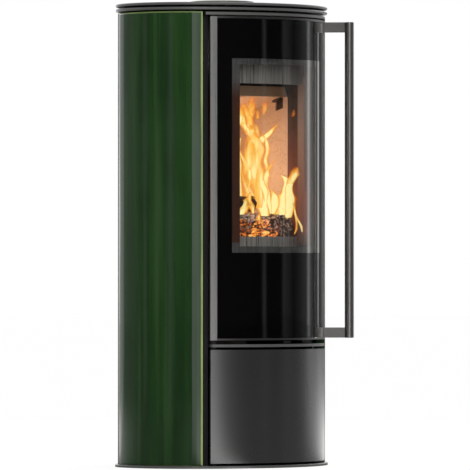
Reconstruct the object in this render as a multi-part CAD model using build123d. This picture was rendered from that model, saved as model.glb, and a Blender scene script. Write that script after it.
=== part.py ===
from build123d import *
import math
import os

# Oval wood stove with a tall curved glass door, a lower store door and one tall glazed
# ceramic panel on each side. Millimetres. The origin is on the floor under the centre of
# the oval plan. Z is up, the door faces -Y and its hinges are on the -X side.

# ---- clearances ----
seat = 0.3  # between pieces that lie against each other
running = 0.05  # radial, pins in bushes and rollers
screw_slack = 0.3  # radial, screws in their holes
thread_slack = 0.1  # radial, screws in the pieces they are driven into
press_slack = 0.1  # radial, bushes in the door frame

# ---- plan of the outer skin: an oval of four arcs ----
front_radius = 350.0  # front and rear arcs
side_radius = 182.0  # left and right arcs
blend_angle = 45.0  # where a front arc meets a side arc, from the front normal
full_turn = 360.0
half_turn = full_turn / 2

# ---- heights, from the floor up ----
base_thickness = 6.5
plinth_gap = 6.0
lower_door_height = 284.5
lower_door_gap = 6.5
shelf_thickness = 7.0
lever_gap = 10.0
door_height = 811.0
door_top_gap = 4.0
band_gap = 5.5
plate_gap = 5.0
cover_height = 12.0

# ---- oval plates ----
base_overhang = 7.0
top_overhang = 5.5
base_edge = 1.5
plate_edge = 3.0
shelf_corner = 8.0
plate_sweep = 270.0
plate_shoulder = 51.0

# ---- ceramic panels and rear cover ----
tile_start_angle = 40.5
tile_end_angle = 127.0
tile_thickness = 24.0
tile_edge = 4.0
tile_above_band = 1.2
rear_cover_lap = 0.6
sheet = 2.0
vent_count = 5
vent_pitch = 46.0
vent_length = 34.0
vent_width = 6.0
vent_inset = 60.0
stay_width = 20.0
stay_thickness = 4.0
stay_spread = 150.0
stay_inset = 140.0
bracket_width = 36.0
bracket_thickness = 4.0
bracket_rows = 4

# ---- carcass and firebox ----
side_set_back = 88.5  # from the widest point of the skin to the side panels
chamber_rear = 100.0
lining_thickness = 25.0
lining_front = -66.0
shell_wall = 4.0
shell_lift = 2.5
shell_headroom = 2.0
carcass_gap = 6.0
post_start_angle = 37.6
post_end_angle = 42.0
frame_set_back = 32.0  # from the outer skin
frame_depth = 12.0
door_half_angle = 37.4
front_half_angle = 37.3
band_half_angle = 39.3
mouth_half_angle = 27.0
mouth_bottom = 546.0
mouth_top = 1022.0
ash_half_angle = 24.0
ash_bottom = 332.0
ash_top = 520.0
lever_slot_angle = 19.0
lever_slot_height = 9.5

# ---- hearth ----
hearth_level = 540.0
hearth_plate_thickness = 5.0
hearth_ledge = 10.0
brick_thickness = 25.0
brick_set_back = 21.0
grate_half_width = 100.0
grate_front = -90.0
grate_rear = 30.0
grate_thickness = 12.0
grate_rim = 10.0
grate_bar_end = 20.0
grate_slot = 8.0
grate_slot_count = 10
log_guard_set_back = 15.0
log_guard_thickness = 3.0
log_guard_angle = 26.0
log_guard_height = 35.5

# ---- baffles, deflector and linings ----
fire_height = 332.4  # bricks to the lower baffle's underside at baffle_rear_place
baffle_rear_place = 66.0
baffle_rise = 35.5
baffle_toe_place = -50.0
baffle_thickness = 26.0
baffle_bevel = 11.0
notch_width = 25.0
notch_height = 23.0
notch_drop = 4.0
support_reach = 14.0
support_thickness = 5.0
retainer_sheet = 3.0
retainer_drop = 15.0
upper_baffle_gap = 38.8
upper_baffle_thickness = 4.0
upper_baffle_front = -95.0
upper_baffle_rear = 45.0
deflector_set_back = 6.0
deflector_sheet = 3.0
deflector_angle = 30.0
deflector_bottom = 966.0
deflector_height = 70.0
port_radius = 4.0
port_count = 5
port_pitch = 55.0
port_level = 760.0

# ---- ash pan ----
pan_half_width = 120.0
pan_front = -155.0
pan_rear = 22.0
pan_height = 72.0
pan_wall = 1.5
pan_lug_width = 70.0
pan_lug_depth = 12.0
pan_lug_drop = 14.0

# ---- outlets ----
flue_radius = 74.5
flue_wall = 2.0
flue_level = 1045.0
inlet_radius = 49.75
inlet_wall = 1.5
inlet_level = 430.0
spigot_reach = 40.0
spigot_swage = 1.5
spigot_flange = 13.0
spigot_flange_thickness = 3.0
spigot_inset = 3.0
top_hole_radius = 77.0
top_plug_radius = 75.0
cover_radius = 81.5
cover_edge = 3.0
cover_plug_depth = 6.0
top_outlet_radius = 68.0
blank_radius = 76.0
blank_thickness = 4.0
spacer_radius = 12.0
spacer_x = 150.0
spacer_y = 80.0

# ---- door ----
door_thickness = 26.0
face_set_back = 7.7
glass_set_back = 1.7
glass_thickness = 4.0
glass_half_angle = 35.3
stile_inner_angle = 34.6
stile_shoulder_angle = 35.5
stile_lip = 1.4
shoulder_set_back = 5.0
rail_height = 4.5
frame_side_angle = 30.8
frame_end_height = 26.0
frame_skin = 3.0
window_half_angle = 24.4
window_bottom = 556.0
window_top = 1012.0
window_flange = 3.0
window_flange_depth = 12.0
gasket_tape_width = 12.0
rope_angle = 32.0
rope_width = 8.0
rope_groove = 2.0
rope_inset = 12.0
stile_screw_radius = 2.0
stile_screw_head = 4.0
stile_screw_head_height = 3.0
stile_screw_angle = 36.3
stile_screw_count = 5
stile_screw_span = 560.0
stile_screw_recess = 2.0

# ---- door hinge ----
hinge_set_back = 16.0
hinge_angle = -35.6
door_pin_radius = 5.0
door_bush_wall = 2.0
door_pin_length = 28.0
door_pin_flange = 9.0
lower_pin_radius = 4.0
lower_pin_length = 20.0
lower_pin_flange = 7.0

# ---- handle ----
handle_angle = 36.0
bar_radius = 11.75
bar_wall = 2.0
bar_standoff = 64.0
bar_inset = 3.6
bar_cap = 3.0
bar_cap_edge = 1.0
arm_height = 26.0
arm_thickness = 9.0
arm_inset = 4.0
handle_screw_radius = 4.0
handle_screw_head = 6.5
handle_screw_head_height = 5.0
handle_screw_grip = 22.0
handle_screw_recess = 1.0

# ---- roller catches ----
catch_inset = 60.0
roller_radius = 5.5
roller_height = 14.0
roller_pin_radius = 2.0
roller_set_in = 3.0
catch_plate_thickness = 1.6
catch_plate_height = 30.0
catch_plate_set_back = 7.0
catch_ear = 2.5
catch_ear_margin = 1.0
catch_back = 2.5
catch_end_angle = 40.1

# ---- lower door ----
lower_sheet = 2.5
lower_return = 24.0
lower_block_angle = 3.0
lower_block_height = 16.0
magnet_start_angle = 29.0
magnet_end_angle = 33.0
magnet_depth = 14.0
magnet_height = 24.0
magnet_plate_thickness = 3.0

# ---- air control ----
pivot_place = 75.0
pivot_radius = 5.0
pivot_head_radius = 9.0
pivot_head_height = 3.0
lever_thickness = 3.0
lever_width = 20.0
lever_recess = 6.0
lever_hub_radius = 18.0
disc_radius = 45.0
disc_thickness = 2.0
disc_port_radius = 11.0
disc_port_place = 30.0
disc_lift = 0.8
knob_radius = 3.6
knob_length = 26.0

# ---- firewood ----
log_radius = 36.0
top_log_radius = 22.0
right_log_gaps = (50.0, 41.0)  # from the side lining to the log's middle, at its two ends
left_log_gaps = (54.0, 66.0)
top_log_gap = 40.0

# ---- levels and places that follow ----
arc_offset = (front_radius - side_radius) * math.sin(math.radians(blend_angle))
arc_depth = (front_radius - side_radius) * math.cos(math.radians(blend_angle))
lower_door_bottom = base_thickness + plinth_gap
lower_door_top = lower_door_bottom + lower_door_height
shelf_bottom = lower_door_top + lower_door_gap
shelf_top = shelf_bottom + shelf_thickness
door_bottom = shelf_top + lever_gap
door_top = door_bottom + door_height
band_bottom = door_top + door_top_gap
band_top = band_bottom + shelf_thickness
under_bottom = band_top + band_gap
under_top = under_bottom + shelf_thickness
top_bottom = under_top + plate_gap
top_top = top_bottom + shelf_thickness
tile_top = band_top + tile_above_band
panel_outer = arc_offset + side_radius - side_set_back
panel_inner = panel_outer - sheet
shell_outer = panel_inner - carcass_gap
shell_inner = shell_outer - shell_wall
lining_outer = shell_inner - seat
chamber_half_width = lining_outer - lining_thickness
shell_rear_inner = chamber_rear + lining_thickness + seat
shell_rear = shell_rear_inner + shell_wall
shell_bottom = shelf_top + lever_gap + shell_lift
shell_floor = shell_bottom + shell_wall
shell_top = band_bottom - seat - shell_headroom
panel_rear = shell_rear + carcass_gap
frame_outer = front_radius - frame_set_back
frame_inner = frame_outer - frame_depth
deflector_radius = frame_inner - deflector_set_back
log_guard_radius = frame_inner - log_guard_set_back
brick_front_radius = frame_inner - brick_set_back
door_inner = front_radius - door_thickness
frame_face = front_radius - face_set_back
frame_shoulder = front_radius - shoulder_set_back
glass_face = front_radius - glass_set_back
hinge_radius = front_radius - hinge_set_back
roller_place = door_inner + roller_set_in
catch_plate_outer = front_radius - catch_plate_set_back
catch_ear_reach = roller_place + roller_radius + catch_ear_margin
carcass_bottom = base_thickness + seat
carcass_top = band_bottom - seat
brick_bottom = hearth_level + hearth_plate_thickness + seat
brick_top = brick_bottom + brick_thickness
baffle_rear_height = brick_top + fire_height
baffle_toe_height = baffle_rear_height + baffle_rise
upper_baffle_level = baffle_toe_height + baffle_thickness + upper_baffle_gap
retainer_top = upper_baffle_level - retainer_drop
right_log = [(chamber_half_width - gap, end) for gap, end in zip(right_log_gaps, (-95.0, 72.0))]
left_log = [(gap - chamber_half_width, end) for gap, end in zip(left_log_gaps, (-92.0, 70.0))]
middle_log = [(10.0, -100.0), (-20.0, 60.0)]
top_log = [(top_log_gap - chamber_half_width, -8.0), (48.0, -62.0)]
tall = 3000.0


def turned(angle):
    """Unit plan direction of the skin's normal at an angle from the front."""
    return math.sin(math.radians(angle)), -math.cos(math.radians(angle))


def front_point(radius, angle):
    """Plan point about the centre of the front arc."""
    across, along = turned(angle)
    return radius * across, arc_depth + radius * along


def front_axis(radius, angle):
    """Vertical axis location at a point about the front arc's centre."""
    return Pos(*front_point(radius, angle), 0)


def radial(radius, angle, level):
    """Frame at a point of the front arc with its Z pointing out along the radius."""
    across, along = turned(angle)
    x, y = front_point(radius, angle)
    return Plane(origin=(x, y, level), x_dir=(-along, across, 0), z_dir=(across, along, 0))


def skin_point(depth, angle):
    """Plan point at a depth under the oval skin where its normal has this angle."""
    across, along = turned(angle)
    if abs(angle) <= blend_angle:
        return (front_radius - depth) * across, arc_depth + (front_radius - depth) * along
    if abs(angle) <= half_turn - blend_angle:
        side = math.copysign(arc_offset, angle)
        return side + (side_radius - depth) * across, (side_radius - depth) * along
    return (front_radius - depth) * across, -arc_depth + (front_radius - depth) * along


def skin_path(depth, start, end):
    """Arcs of the oval skin between two normal angles, start below end."""
    breaks = [-half_turn - blend_angle, -half_turn + blend_angle, -blend_angle, blend_angle]
    breaks += [half_turn - blend_angle, half_turn + blend_angle]
    stops = [start] + [b for b in breaks if start < b < end] + [end]
    arcs = []
    for first, last in zip(stops, stops[1:]):
        middle = (first + last) / 2
        # the ends are taken with the arc that the middle lies on
        arcs.append(arc_piece(depth, first, middle, last))
    return arcs


def arc_piece(depth, first, middle, last):
    """One arc of the skin through three normal angles that share a centre."""
    if middle > half_turn:
        first, middle, last = first - full_turn, middle - full_turn, last - full_turn
    if middle < -half_turn:
        first, middle, last = first + full_turn, middle + full_turn, last + full_turn
    if abs(middle) <= blend_angle:
        centre, radius = (0.0, arc_depth), front_radius - depth
    elif abs(middle) <= half_turn - blend_angle:
        centre, radius = (math.copysign(arc_offset, middle), 0.0), side_radius - depth
    else:
        centre, radius = (0.0, -arc_depth), front_radius - depth
    points = []
    for angle in (first, middle, last):
        across, along = turned(angle)
        points.append((centre[0] + radius * across, centre[1] + radius * along))
    return ThreePointArc(*points)


def raised(face, bottom, top):
    """Face extruded straight up between two levels."""
    return extrude(Pos(0, 0, bottom) * face, amount=top - bottom, dir=(0, 0, 1))


def band(outer, inner, start, end, bottom, top):
    """Bar bent round the centre of the front arc."""
    middle = (start + end) / 2
    outer_arc = ThreePointArc(*[front_point(outer, a) for a in (start, middle, end)])
    inner_arc = ThreePointArc(*[front_point(inner, a) for a in (start, middle, end)])
    first = Line(front_point(outer, start), front_point(inner, start))
    last = Line(front_point(outer, end), front_point(inner, end))
    return raised(make_face([outer_arc, last, inner_arc, first]), bottom, top)


def skin_panel(outer_depth, inner_depth, start, end, bottom, top):
    """Panel that follows the oval skin between two normal angles."""
    edges = skin_path(outer_depth, start, end) + skin_path(inner_depth, start, end)
    edges.append(Line(edge_end(outer_depth, start), edge_end(inner_depth, start)))
    edges.append(Line(edge_end(outer_depth, end), edge_end(inner_depth, end)))
    return raised(make_face(edges), bottom, top)


def edge_end(depth, angle):
    """Skin point, with angles past 180 brought back into range."""
    return skin_point(depth, angle - full_turn if angle > half_turn else angle)


def oval(overhang, bottom, top):
    """Oval slab that stands out past the skin by the overhang."""
    return raised(make_face(skin_path(-overhang, -half_turn, half_turn)), bottom, top)


def block(x0, x1, y0, y1, z0, z1):
    """Box between two corners."""
    return Pos((x0 + x1) / 2, (y0 + y1) / 2, (z0 + z1) / 2) * Box(x1 - x0, y1 - y0, z1 - z0)


def disc(radius, bottom, top):
    """Upright round slab on the Z axis."""
    return Pos(0, 0, (bottom + top) / 2) * Cylinder(radius, top - bottom)


def pipe(outer, inner, y0, y1, level):
    """Tube along Y at a height."""
    shape = Cylinder(outer, y1 - y0) - Cylinder(inner, y1 - y0)
    return Pos(0, (y0 + y1) / 2, level) * Rot(90, 0, 0) * shape


def rod(radius, y0, y1, level):
    """Solid round bar along Y at a height, for cutting."""
    return Pos(0, (y0 + y1) / 2, level) * Rot(90, 0, 0) * Cylinder(radius, y1 - y0)


def mirrored(shape):
    """The same piece on the other side of the stove."""
    return mirror(shape, about=Plane.YZ)


def both_sides(shape):
    """A piece and its mirror image, as separate solids."""
    return shape + mirrored(shape)


def level_edges(shape, level):
    """Edges that lie flat at a height."""
    return shape.edges().filter_by_position(Axis.Z, level - 0.01, level + 0.01)


def inside_skin(depth):
    """Everything inside the skin, for trimming pieces that reach up to it."""
    return oval(-depth, 0, tall)


def inside_front(radius):
    """Tall round column about the front arc's centre, for trimming."""
    return Pos(0, arc_depth, tall / 2) * Cylinder(radius, tall)


# ---- oval plates ----


def base_plate():
    plate = oval(base_overhang, 0, base_thickness)
    return fillet(level_edges(plate, base_thickness), base_edge)


def outlet_plate(bottom, top):
    """Top plate with rounded edges and the round hole of the top outlet."""
    plate = oval(top_overhang, bottom, top)
    rims = level_edges(plate, bottom) + level_edges(plate, top)
    return fillet(rims, plate_edge) - disc(top_hole_radius, bottom - 1, top + 1)


def front_plate(bottom, top, half_angle):
    """Flat plate across the carcass, with a curved front that follows the skin."""
    wedge = band(front_radius, front_radius - plate_sweep, -half_angle, half_angle, bottom, top)
    reach = panel_inner - seat
    rear = panel_rear - seat
    body = block(-reach, reach, -plate_shoulder, rear, bottom, top)
    return wedge + body


def shelf_plate():
    plate = front_plate(shelf_bottom, shelf_top, front_half_angle)
    reach = frame_inner - seat
    notch = band(front_radius + 1, reach, front_half_angle, blend_angle, shelf_bottom, shelf_top)
    plate -= both_sides(notch)
    corner = front_point(front_radius, front_half_angle)
    uprights = plate.edges().filter_by(Axis.Z)
    corners = [e for e in uprights if math.dist((abs(e.center().X), e.center().Y), corner) < 1]
    plate = fillet(corners, shelf_corner)
    hole = at_pivot() * disc(pivot_radius + seat, shelf_bottom, shelf_top)
    return plate - hole


def top_band():
    plate = front_plate(band_bottom, band_top, band_half_angle)
    return plate - disc(blank_radius + 2 * seat, band_bottom, band_top)


def plate_spacers():
    spacers = []
    for bottom, top in ((band_top, under_bottom), (under_top, top_bottom)):
        spacer = disc(spacer_radius, bottom + seat / 2, top - seat / 2)
        spacers += [Pos(x, y, 0) * spacer for x in (-spacer_x, spacer_x) for y in (-spacer_y, spacer_y)]
    return Compound(children=spacers)


def flue_cover():
    rim = disc(cover_radius, top_top + seat, top_top + cover_height)
    rim = fillet(level_edges(rim, top_top + cover_height), cover_edge)
    return rim + disc(top_plug_radius, top_top - cover_plug_depth, top_top + seat)


def flue_blank():
    bottom = shell_top + seat
    return disc(blank_radius, bottom, bottom + blank_thickness)


# ---- carcass ----


def side_panel():
    behind_post = arc_depth - panel_inner / math.tan(math.radians(post_end_angle)) + 2 * seat
    inside_tile = arc_depth - math.sqrt((front_radius - tile_thickness - seat) ** 2 - panel_outer ** 2)
    front = max(behind_post, inside_tile)
    return block(panel_inner, panel_outer, front, panel_rear + sheet, carcass_bottom, carcass_top)


def rear_panel():
    reach = panel_inner - seat
    panel = block(-reach, reach, panel_rear, panel_rear + sheet, carcass_bottom, carcass_top)
    for hole in spigot_holes(panel_rear - 1, panel_rear + sheet + 1):
        panel -= hole
    return panel


def front_posts():
    post = band(frame_outer, frame_inner, post_start_angle, post_end_angle, carcass_bottom, carcass_top)
    return both_sides(post)


def rear_cover():
    start = tile_end_angle + rear_cover_lap
    cover = skin_panel(0, sheet, start, full_turn - start, carcass_bottom, tile_top)
    for hole in spigot_holes(chamber_rear, front_radius):
        cover -= hole
    slot = Rot(90, 0, 0) * extrude(SlotOverall(vent_length, vent_width), amount=side_radius)
    first = -(vent_count - 1) / 2 * vent_pitch
    for level in (carcass_bottom + vent_inset, inlet_level + 2 * inlet_radius + vent_inset):
        for number in range(vent_count):
            cover -= Pos(first + number * vent_pitch, front_radius, level) * slot
    return cover


def rear_cover_stays():
    start = panel_rear + sheet + seat
    stays = []
    for level in (carcass_bottom + stay_inset, carcass_top - stay_inset):
        low = level - stay_thickness / 2
        for x in (-stay_spread, stay_spread):
            left = x - stay_width / 2
            bar = block(left, left + stay_width, start, front_radius, low, low + stay_thickness)
            stays.append(bar & inside_skin(sheet + seat))
    return Compound(children=[s.solid() for s in stays])


# ---- ceramic panels ----


def on_skin(edge):
    """True for an edge whose middle lies on the outer skin of the right-hand side."""
    middle = edge @ 0.5
    angle = math.degrees(math.atan2(middle.X, arc_depth - middle.Y))
    if angle <= blend_angle:
        away = math.hypot(middle.X, middle.Y - arc_depth) - front_radius
    else:
        away = math.hypot(middle.X - arc_offset, middle.Y) - side_radius
    return abs(away) < 0.05


def tile():
    panel = skin_panel(0, tile_thickness, tile_start_angle, tile_end_angle, carcass_bottom, tile_top)
    panel = fillet([e for e in panel.edges() if on_skin(e)], tile_edge)
    return panel


def tile_brackets():
    pitch = (carcass_top - carcass_bottom) / bracket_rows
    start = panel_outer + seat
    bars = []
    for number in range(bracket_rows):
        low = carcass_bottom + (number + 0.5) * pitch
        reach = arc_offset + side_radius
        half = bracket_width / 2
        bar = block(start, reach, -half, half, low, low + bracket_thickness)
        bars.append(bar & inside_skin(tile_thickness + seat))
    solids = [b.solid() for b in bars]
    return Compound(children=solids + [mirrored(s).solid() for s in solids])


# ---- firebox ----


def firebox_shell():
    front = -front_radius
    shell = block(-shell_outer, shell_outer, front, shell_rear, shell_bottom, shell_top)
    roof = shell_top - shell_wall
    shell -= block(-shell_inner, shell_inner, front - 1, shell_rear_inner, shell_floor, roof)
    ledge_top = hearth_level - seat
    ledge_bottom = ledge_top - hearth_plate_thickness
    side = block(-shell_inner, hearth_ledge - shell_inner, front, shell_rear_inner, ledge_bottom, ledge_top)
    shell += both_sides(side)
    high_top = upper_baffle_level - seat
    high_bottom = high_top - upper_baffle_thickness
    inner = hearth_ledge - shell_inner
    high = block(-shell_inner, inner, upper_baffle_front, upper_baffle_rear, high_bottom, high_top)
    shell += both_sides(high)
    shell &= inside_front(frame_inner - seat)
    for hole in spigot_holes(shell_rear_inner - 1, shell_rear + 1):
        shell -= hole
    shell -= disc(top_outlet_radius, roof - 1, shell_top + 1)
    shell -= at_pivot() * disc(pivot_radius + seat, shell_bottom - 1, shell_floor + 1)
    port = disc(disc_port_radius, shell_bottom - 1, shell_floor + 1)
    for side_sign in (-1, 1):
        shell -= at_pivot() * Pos(side_sign * disc_port_place, 0, 0) * port
    return shell


def front_frame():
    bottom = shelf_top + seat
    frame = band(frame_outer, frame_inner, -front_half_angle, front_half_angle, bottom, carcass_top)
    openings = [(mouth_half_angle, mouth_bottom, mouth_top)]
    openings.append((ash_half_angle, ash_bottom, ash_top))
    openings.append((lever_slot_angle, shelf_top, shelf_top + lever_slot_height))
    for half, low, high in openings:
        frame -= band(frame_outer + 1, frame_inner - 1, -half, half, low, high)
    return frame


def hearth_plate():
    reach = lining_outer
    top = hearth_level + hearth_plate_thickness
    plate = block(-reach, reach, -front_radius, shell_rear_inner - seat, hearth_level, top)
    plate &= inside_front(frame_inner - 2 * seat)
    hole_x = grate_half_width - grate_rim
    return plate - block(-hole_x, hole_x, grate_front + grate_rim, grate_rear - grate_rim, hearth_level, top)


def hearth_bricks():
    reach = chamber_half_width - seat
    rear = chamber_rear - seat
    hole = grate_half_width + seat
    side = block(hole, reach, grate_front, rear, brick_bottom, brick_top)
    back = block(-grate_half_width, grate_half_width, grate_rear + seat, rear, brick_bottom, brick_top)
    front = block(-reach, reach, -front_radius, grate_front - seat, brick_bottom, brick_top)
    front &= inside_front(brick_front_radius)
    return Compound(children=[side.solid(), mirrored(side).solid(), back.solid(), front.solid()])


def grate():
    reach = grate_half_width - seat
    top = brick_bottom + grate_thickness
    plate = block(-reach, reach, grate_front + seat, grate_rear - seat, brick_bottom, top)
    pitch = 2 * (reach - grate_rim) / grate_slot_count
    for number in range(grate_slot_count):
        centre = -reach + grate_rim + (number + 0.5) * pitch
        left = centre - grate_slot / 2
        right = centre + grate_slot / 2
        front = grate_front + grate_bar_end
        plate -= block(left, right, front, grate_rear - grate_bar_end, brick_bottom, top)
    return plate


def log_guard():
    inner = log_guard_radius - log_guard_thickness
    top = brick_bottom + log_guard_height
    return band(log_guard_radius, inner, -log_guard_angle, log_guard_angle, brick_bottom, top)


def baffle_underside(place):
    """Height of the lower baffle's underside at a Y place: it climbs to a level toe."""
    slope = (baffle_toe_height - baffle_rear_height) / (baffle_rear_place - baffle_toe_place)
    return baffle_rear_height + slope * (baffle_rear_place - max(place, baffle_toe_place))


def side_profile(points, x0, x1):
    """Outline in the YZ plane, extruded along X."""
    face = make_face(Polyline(*[(0, y, z) for y, z in points], close=True))
    return extrude(Pos(x0, 0, 0) * face, amount=x1 - x0, dir=(1, 0, 0))


def side_lining():
    rear = chamber_rear + lining_thickness
    outline = [(lining_front, brick_bottom), (rear, brick_bottom), (rear, baffle_underside(rear))]
    outline += [(baffle_toe_place, baffle_toe_height), (lining_front, baffle_toe_height)]
    panel = side_profile(outline, chamber_half_width, lining_outer)
    return panel - support_space(seat)


def support_space(gap):
    """Pocket in the side lining for the steel support under the lower baffle."""
    front = baffle_toe_place - gap
    rear = baffle_toe_place + notch_width + gap
    outline = []
    for place, drop in ((front, notch_drop - gap), (rear, notch_drop - gap)):
        outline.append((place, baffle_underside(place) - drop))
    for place in (rear, front):
        outline.append((place, baffle_underside(place) - notch_drop - notch_height - gap))
    return side_profile(outline, chamber_half_width - 1, lining_outer + 1)


def baffle_supports():
    """Angle iron in the lining's pocket, with a lug under the baffle."""
    front = baffle_toe_place + seat
    rear = baffle_toe_place + notch_width - seat
    upright = [(front, baffle_underside(front) - notch_drop), (rear, baffle_underside(rear) - notch_drop)]
    upright.append((rear, baffle_underside(rear) - notch_drop - notch_height))
    upright.append((front, baffle_underside(front) - notch_drop - notch_height))
    inset = chamber_half_width + support_thickness
    plate = side_profile(upright, inset, lining_outer)
    lug = [(front, baffle_underside(front) - seat), (rear, baffle_underside(rear) - seat)]
    lug.append((rear, baffle_underside(rear) - seat - support_thickness))
    lug.append((front, baffle_underside(front) - seat - support_thickness))
    tongue = side_profile(lug, chamber_half_width - support_reach, chamber_half_width - seat)
    web = [(front, baffle_underside(front) - notch_drop), (rear, baffle_underside(rear) - notch_drop)]
    web.append((rear, baffle_underside(rear) - seat - support_thickness))
    web.append((front, baffle_underside(front) - seat - support_thickness))
    neck = side_profile(web, chamber_half_width - support_reach, inset + seat)
    return both_sides(plate + tongue + neck)


def rear_lining():
    reach = chamber_half_width - seat
    rear = chamber_rear + lining_thickness
    low = baffle_underside(chamber_rear) - seat
    outline = [(chamber_rear, brick_bottom), (rear, brick_bottom)]
    outline += [(rear, baffle_underside(rear) - seat), (chamber_rear, low)]
    panel = side_profile(outline, -reach, reach)
    first = -(port_count - 1) / 2 * port_pitch
    for number in range(port_count):
        hole = rod(port_radius, chamber_rear - 1, rear + 1, port_level)
        panel -= Pos(first + number * port_pitch, 0, 0) * hole
    return panel


def lining_retainers():
    """Bent steel sides of the throat, which hold the side linings' front edges."""
    front_trim = inside_front(frame_inner - 2 * seat)
    left = chamber_half_width
    face = block(left, left + retainer_sheet, -front_radius, lining_front - seat, brick_bottom, retainer_top)
    back = lining_front - seat
    lip = block(left, lining_outer, back - retainer_sheet, back, brick_bottom, retainer_top)
    side = (face + lip) & front_trim
    return both_sides(side)


def lower_baffle():
    rear = chamber_rear + lining_thickness - seat
    outline = [(lining_front, baffle_toe_height), (baffle_toe_place, baffle_toe_height)]
    outline += [(rear, baffle_underside(rear)), (rear, baffle_underside(rear) + baffle_thickness)]
    outline += [(baffle_toe_place, baffle_toe_height + baffle_thickness)]
    outline += [(lining_front, baffle_toe_height + baffle_thickness)]
    reach = chamber_half_width - 2 * seat
    plate = side_profile(outline, -reach, reach)
    lean = math.degrees(math.atan2(baffle_bevel, baffle_thickness))
    half_space = block(0, lining_outer, -tall, tall, -tall, tall)
    tool = Pos(reach, 0, baffle_toe_height) * Rot(0, -lean, 0) * half_space
    return plate - tool - mirrored(tool)


def upper_baffle():
    reach = lining_outer
    top = upper_baffle_level + upper_baffle_thickness
    return block(-reach, reach, upper_baffle_front, upper_baffle_rear, upper_baffle_level, top)


def air_wash_deflector():
    inner = deflector_radius - deflector_sheet
    top = deflector_bottom + deflector_height
    face = band(deflector_radius, inner, -deflector_angle, deflector_angle, deflector_bottom, top)
    outer = frame_inner - seat
    low = top - deflector_sheet
    return face + band(outer, inner, -deflector_angle, deflector_angle, low, top)


def ash_pan():
    bottom = shell_floor + seat
    top = bottom + pan_height
    pan = block(-pan_half_width, pan_half_width, pan_front, pan_rear, bottom, top)
    inner_x = pan_half_width - pan_wall
    pan -= block(-inner_x, inner_x, pan_front + pan_wall, pan_rear - pan_wall, bottom + pan_wall, top + 1)
    half = pan_lug_width / 2
    lug = block(-half, half, pan_front - pan_lug_depth, pan_front, top - pan_wall, top)
    low = top - pan_lug_drop
    lip_front = pan_front - pan_lug_depth
    return pan + lug + block(-half, half, lip_front, lip_front + pan_wall, low, top)


def spigot(radius, wall, level):
    """Pipe stub through the rear of the shell: a flange behind the shell and a swaged free end."""
    start = shell_rear_inner - spigot_inset
    swage = front_radius - arc_depth
    tube = pipe(radius + spigot_swage, radius - wall, start, swage, level)
    tube += pipe(radius, radius - wall, swage, swage + spigot_reach, level)
    flange = shell_rear + seat
    rim = radius + spigot_flange
    return tube + pipe(rim, radius - wall, flange, flange + spigot_flange_thickness, level)


def spigot_holes(start, end):
    """Cutting bars for the holes that both pipe stubs pass through."""
    gap = spigot_swage + seat
    return [rod(flue_radius + gap, start, end, flue_level), rod(inlet_radius + gap, start, end, inlet_level)]


def firewood():
    logs = []
    layers = [(ends, log_radius, brick_top + seat) for ends in (right_log, middle_log, left_log)]
    layers.append((top_log, top_log_radius, brick_top + 2 * seat + 2 * log_radius))
    for (first, last), radius, under in layers:
        level = under + radius
        start = Vector(first[0], first[1], level)
        along = Vector(last[0], last[1], level) - start
        frame = Plane(origin=start + along / 2, z_dir=along)
        logs.append(frame * Cylinder(radius, along.length))
    return Compound(children=[log.solid() for log in logs])


# ---- main door ----


def screw_levels():
    first = (door_bottom + door_top - stile_screw_span) / 2
    pitch = stile_screw_span / (stile_screw_count - 1)
    return [first + number * pitch for number in range(stile_screw_count)]


def arm_levels():
    low = door_bottom + arm_inset
    high = door_top - arm_inset - arm_height
    return [low, high]


def radial_rod(radius, inner, outer, angle, level):
    """Round bar along the radius through a point of the front arc."""
    return radial(inner, angle, level) * Pos(0, 0, (outer - inner) / 2) * Cylinder(radius, outer - inner)


def handle_screw(slack):
    """Screws of the handle arms, or their clearance holes."""
    head_inner = door_inner + handle_screw_recess
    head_outer = head_inner + handle_screw_head_height
    tip = front_radius + handle_screw_grip
    shapes = []
    for low in arm_levels():
        level = low + arm_height / 2
        start = head_inner - slack * tall
        start = max(start, frame_outer)
        head = radial_rod(handle_screw_head + slack, start, head_outer + slack, handle_angle, level)
        shank = radial_rod(handle_screw_radius + slack, head_inner, tip + slack, handle_angle, level)
        shapes.append(head + shank)
    return shapes


def stile_screw(slack):
    """Screws that hold the stiles, or their clearance holes."""
    head_inner = door_inner + stile_screw_recess
    head_outer = head_inner + stile_screw_head_height
    tip = front_radius - stile_lip - seat
    shapes = []
    for level in screw_levels():
        for angle in (-stile_screw_angle, stile_screw_angle):
            start = head_inner - slack * tall
            start = max(start, frame_outer)
            head = radial_rod(stile_screw_head + slack, start, head_outer + slack, angle, level)
            shank = radial_rod(stile_screw_radius + slack, head_inner, tip + slack, angle, level)
            shapes.append(head + shank)
    return shapes


def hinge_column(radius, bottom, top):
    """Round column on the doors' shared hinge axis."""
    return front_axis(hinge_radius, hinge_angle) * disc(radius, bottom, top)


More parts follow.
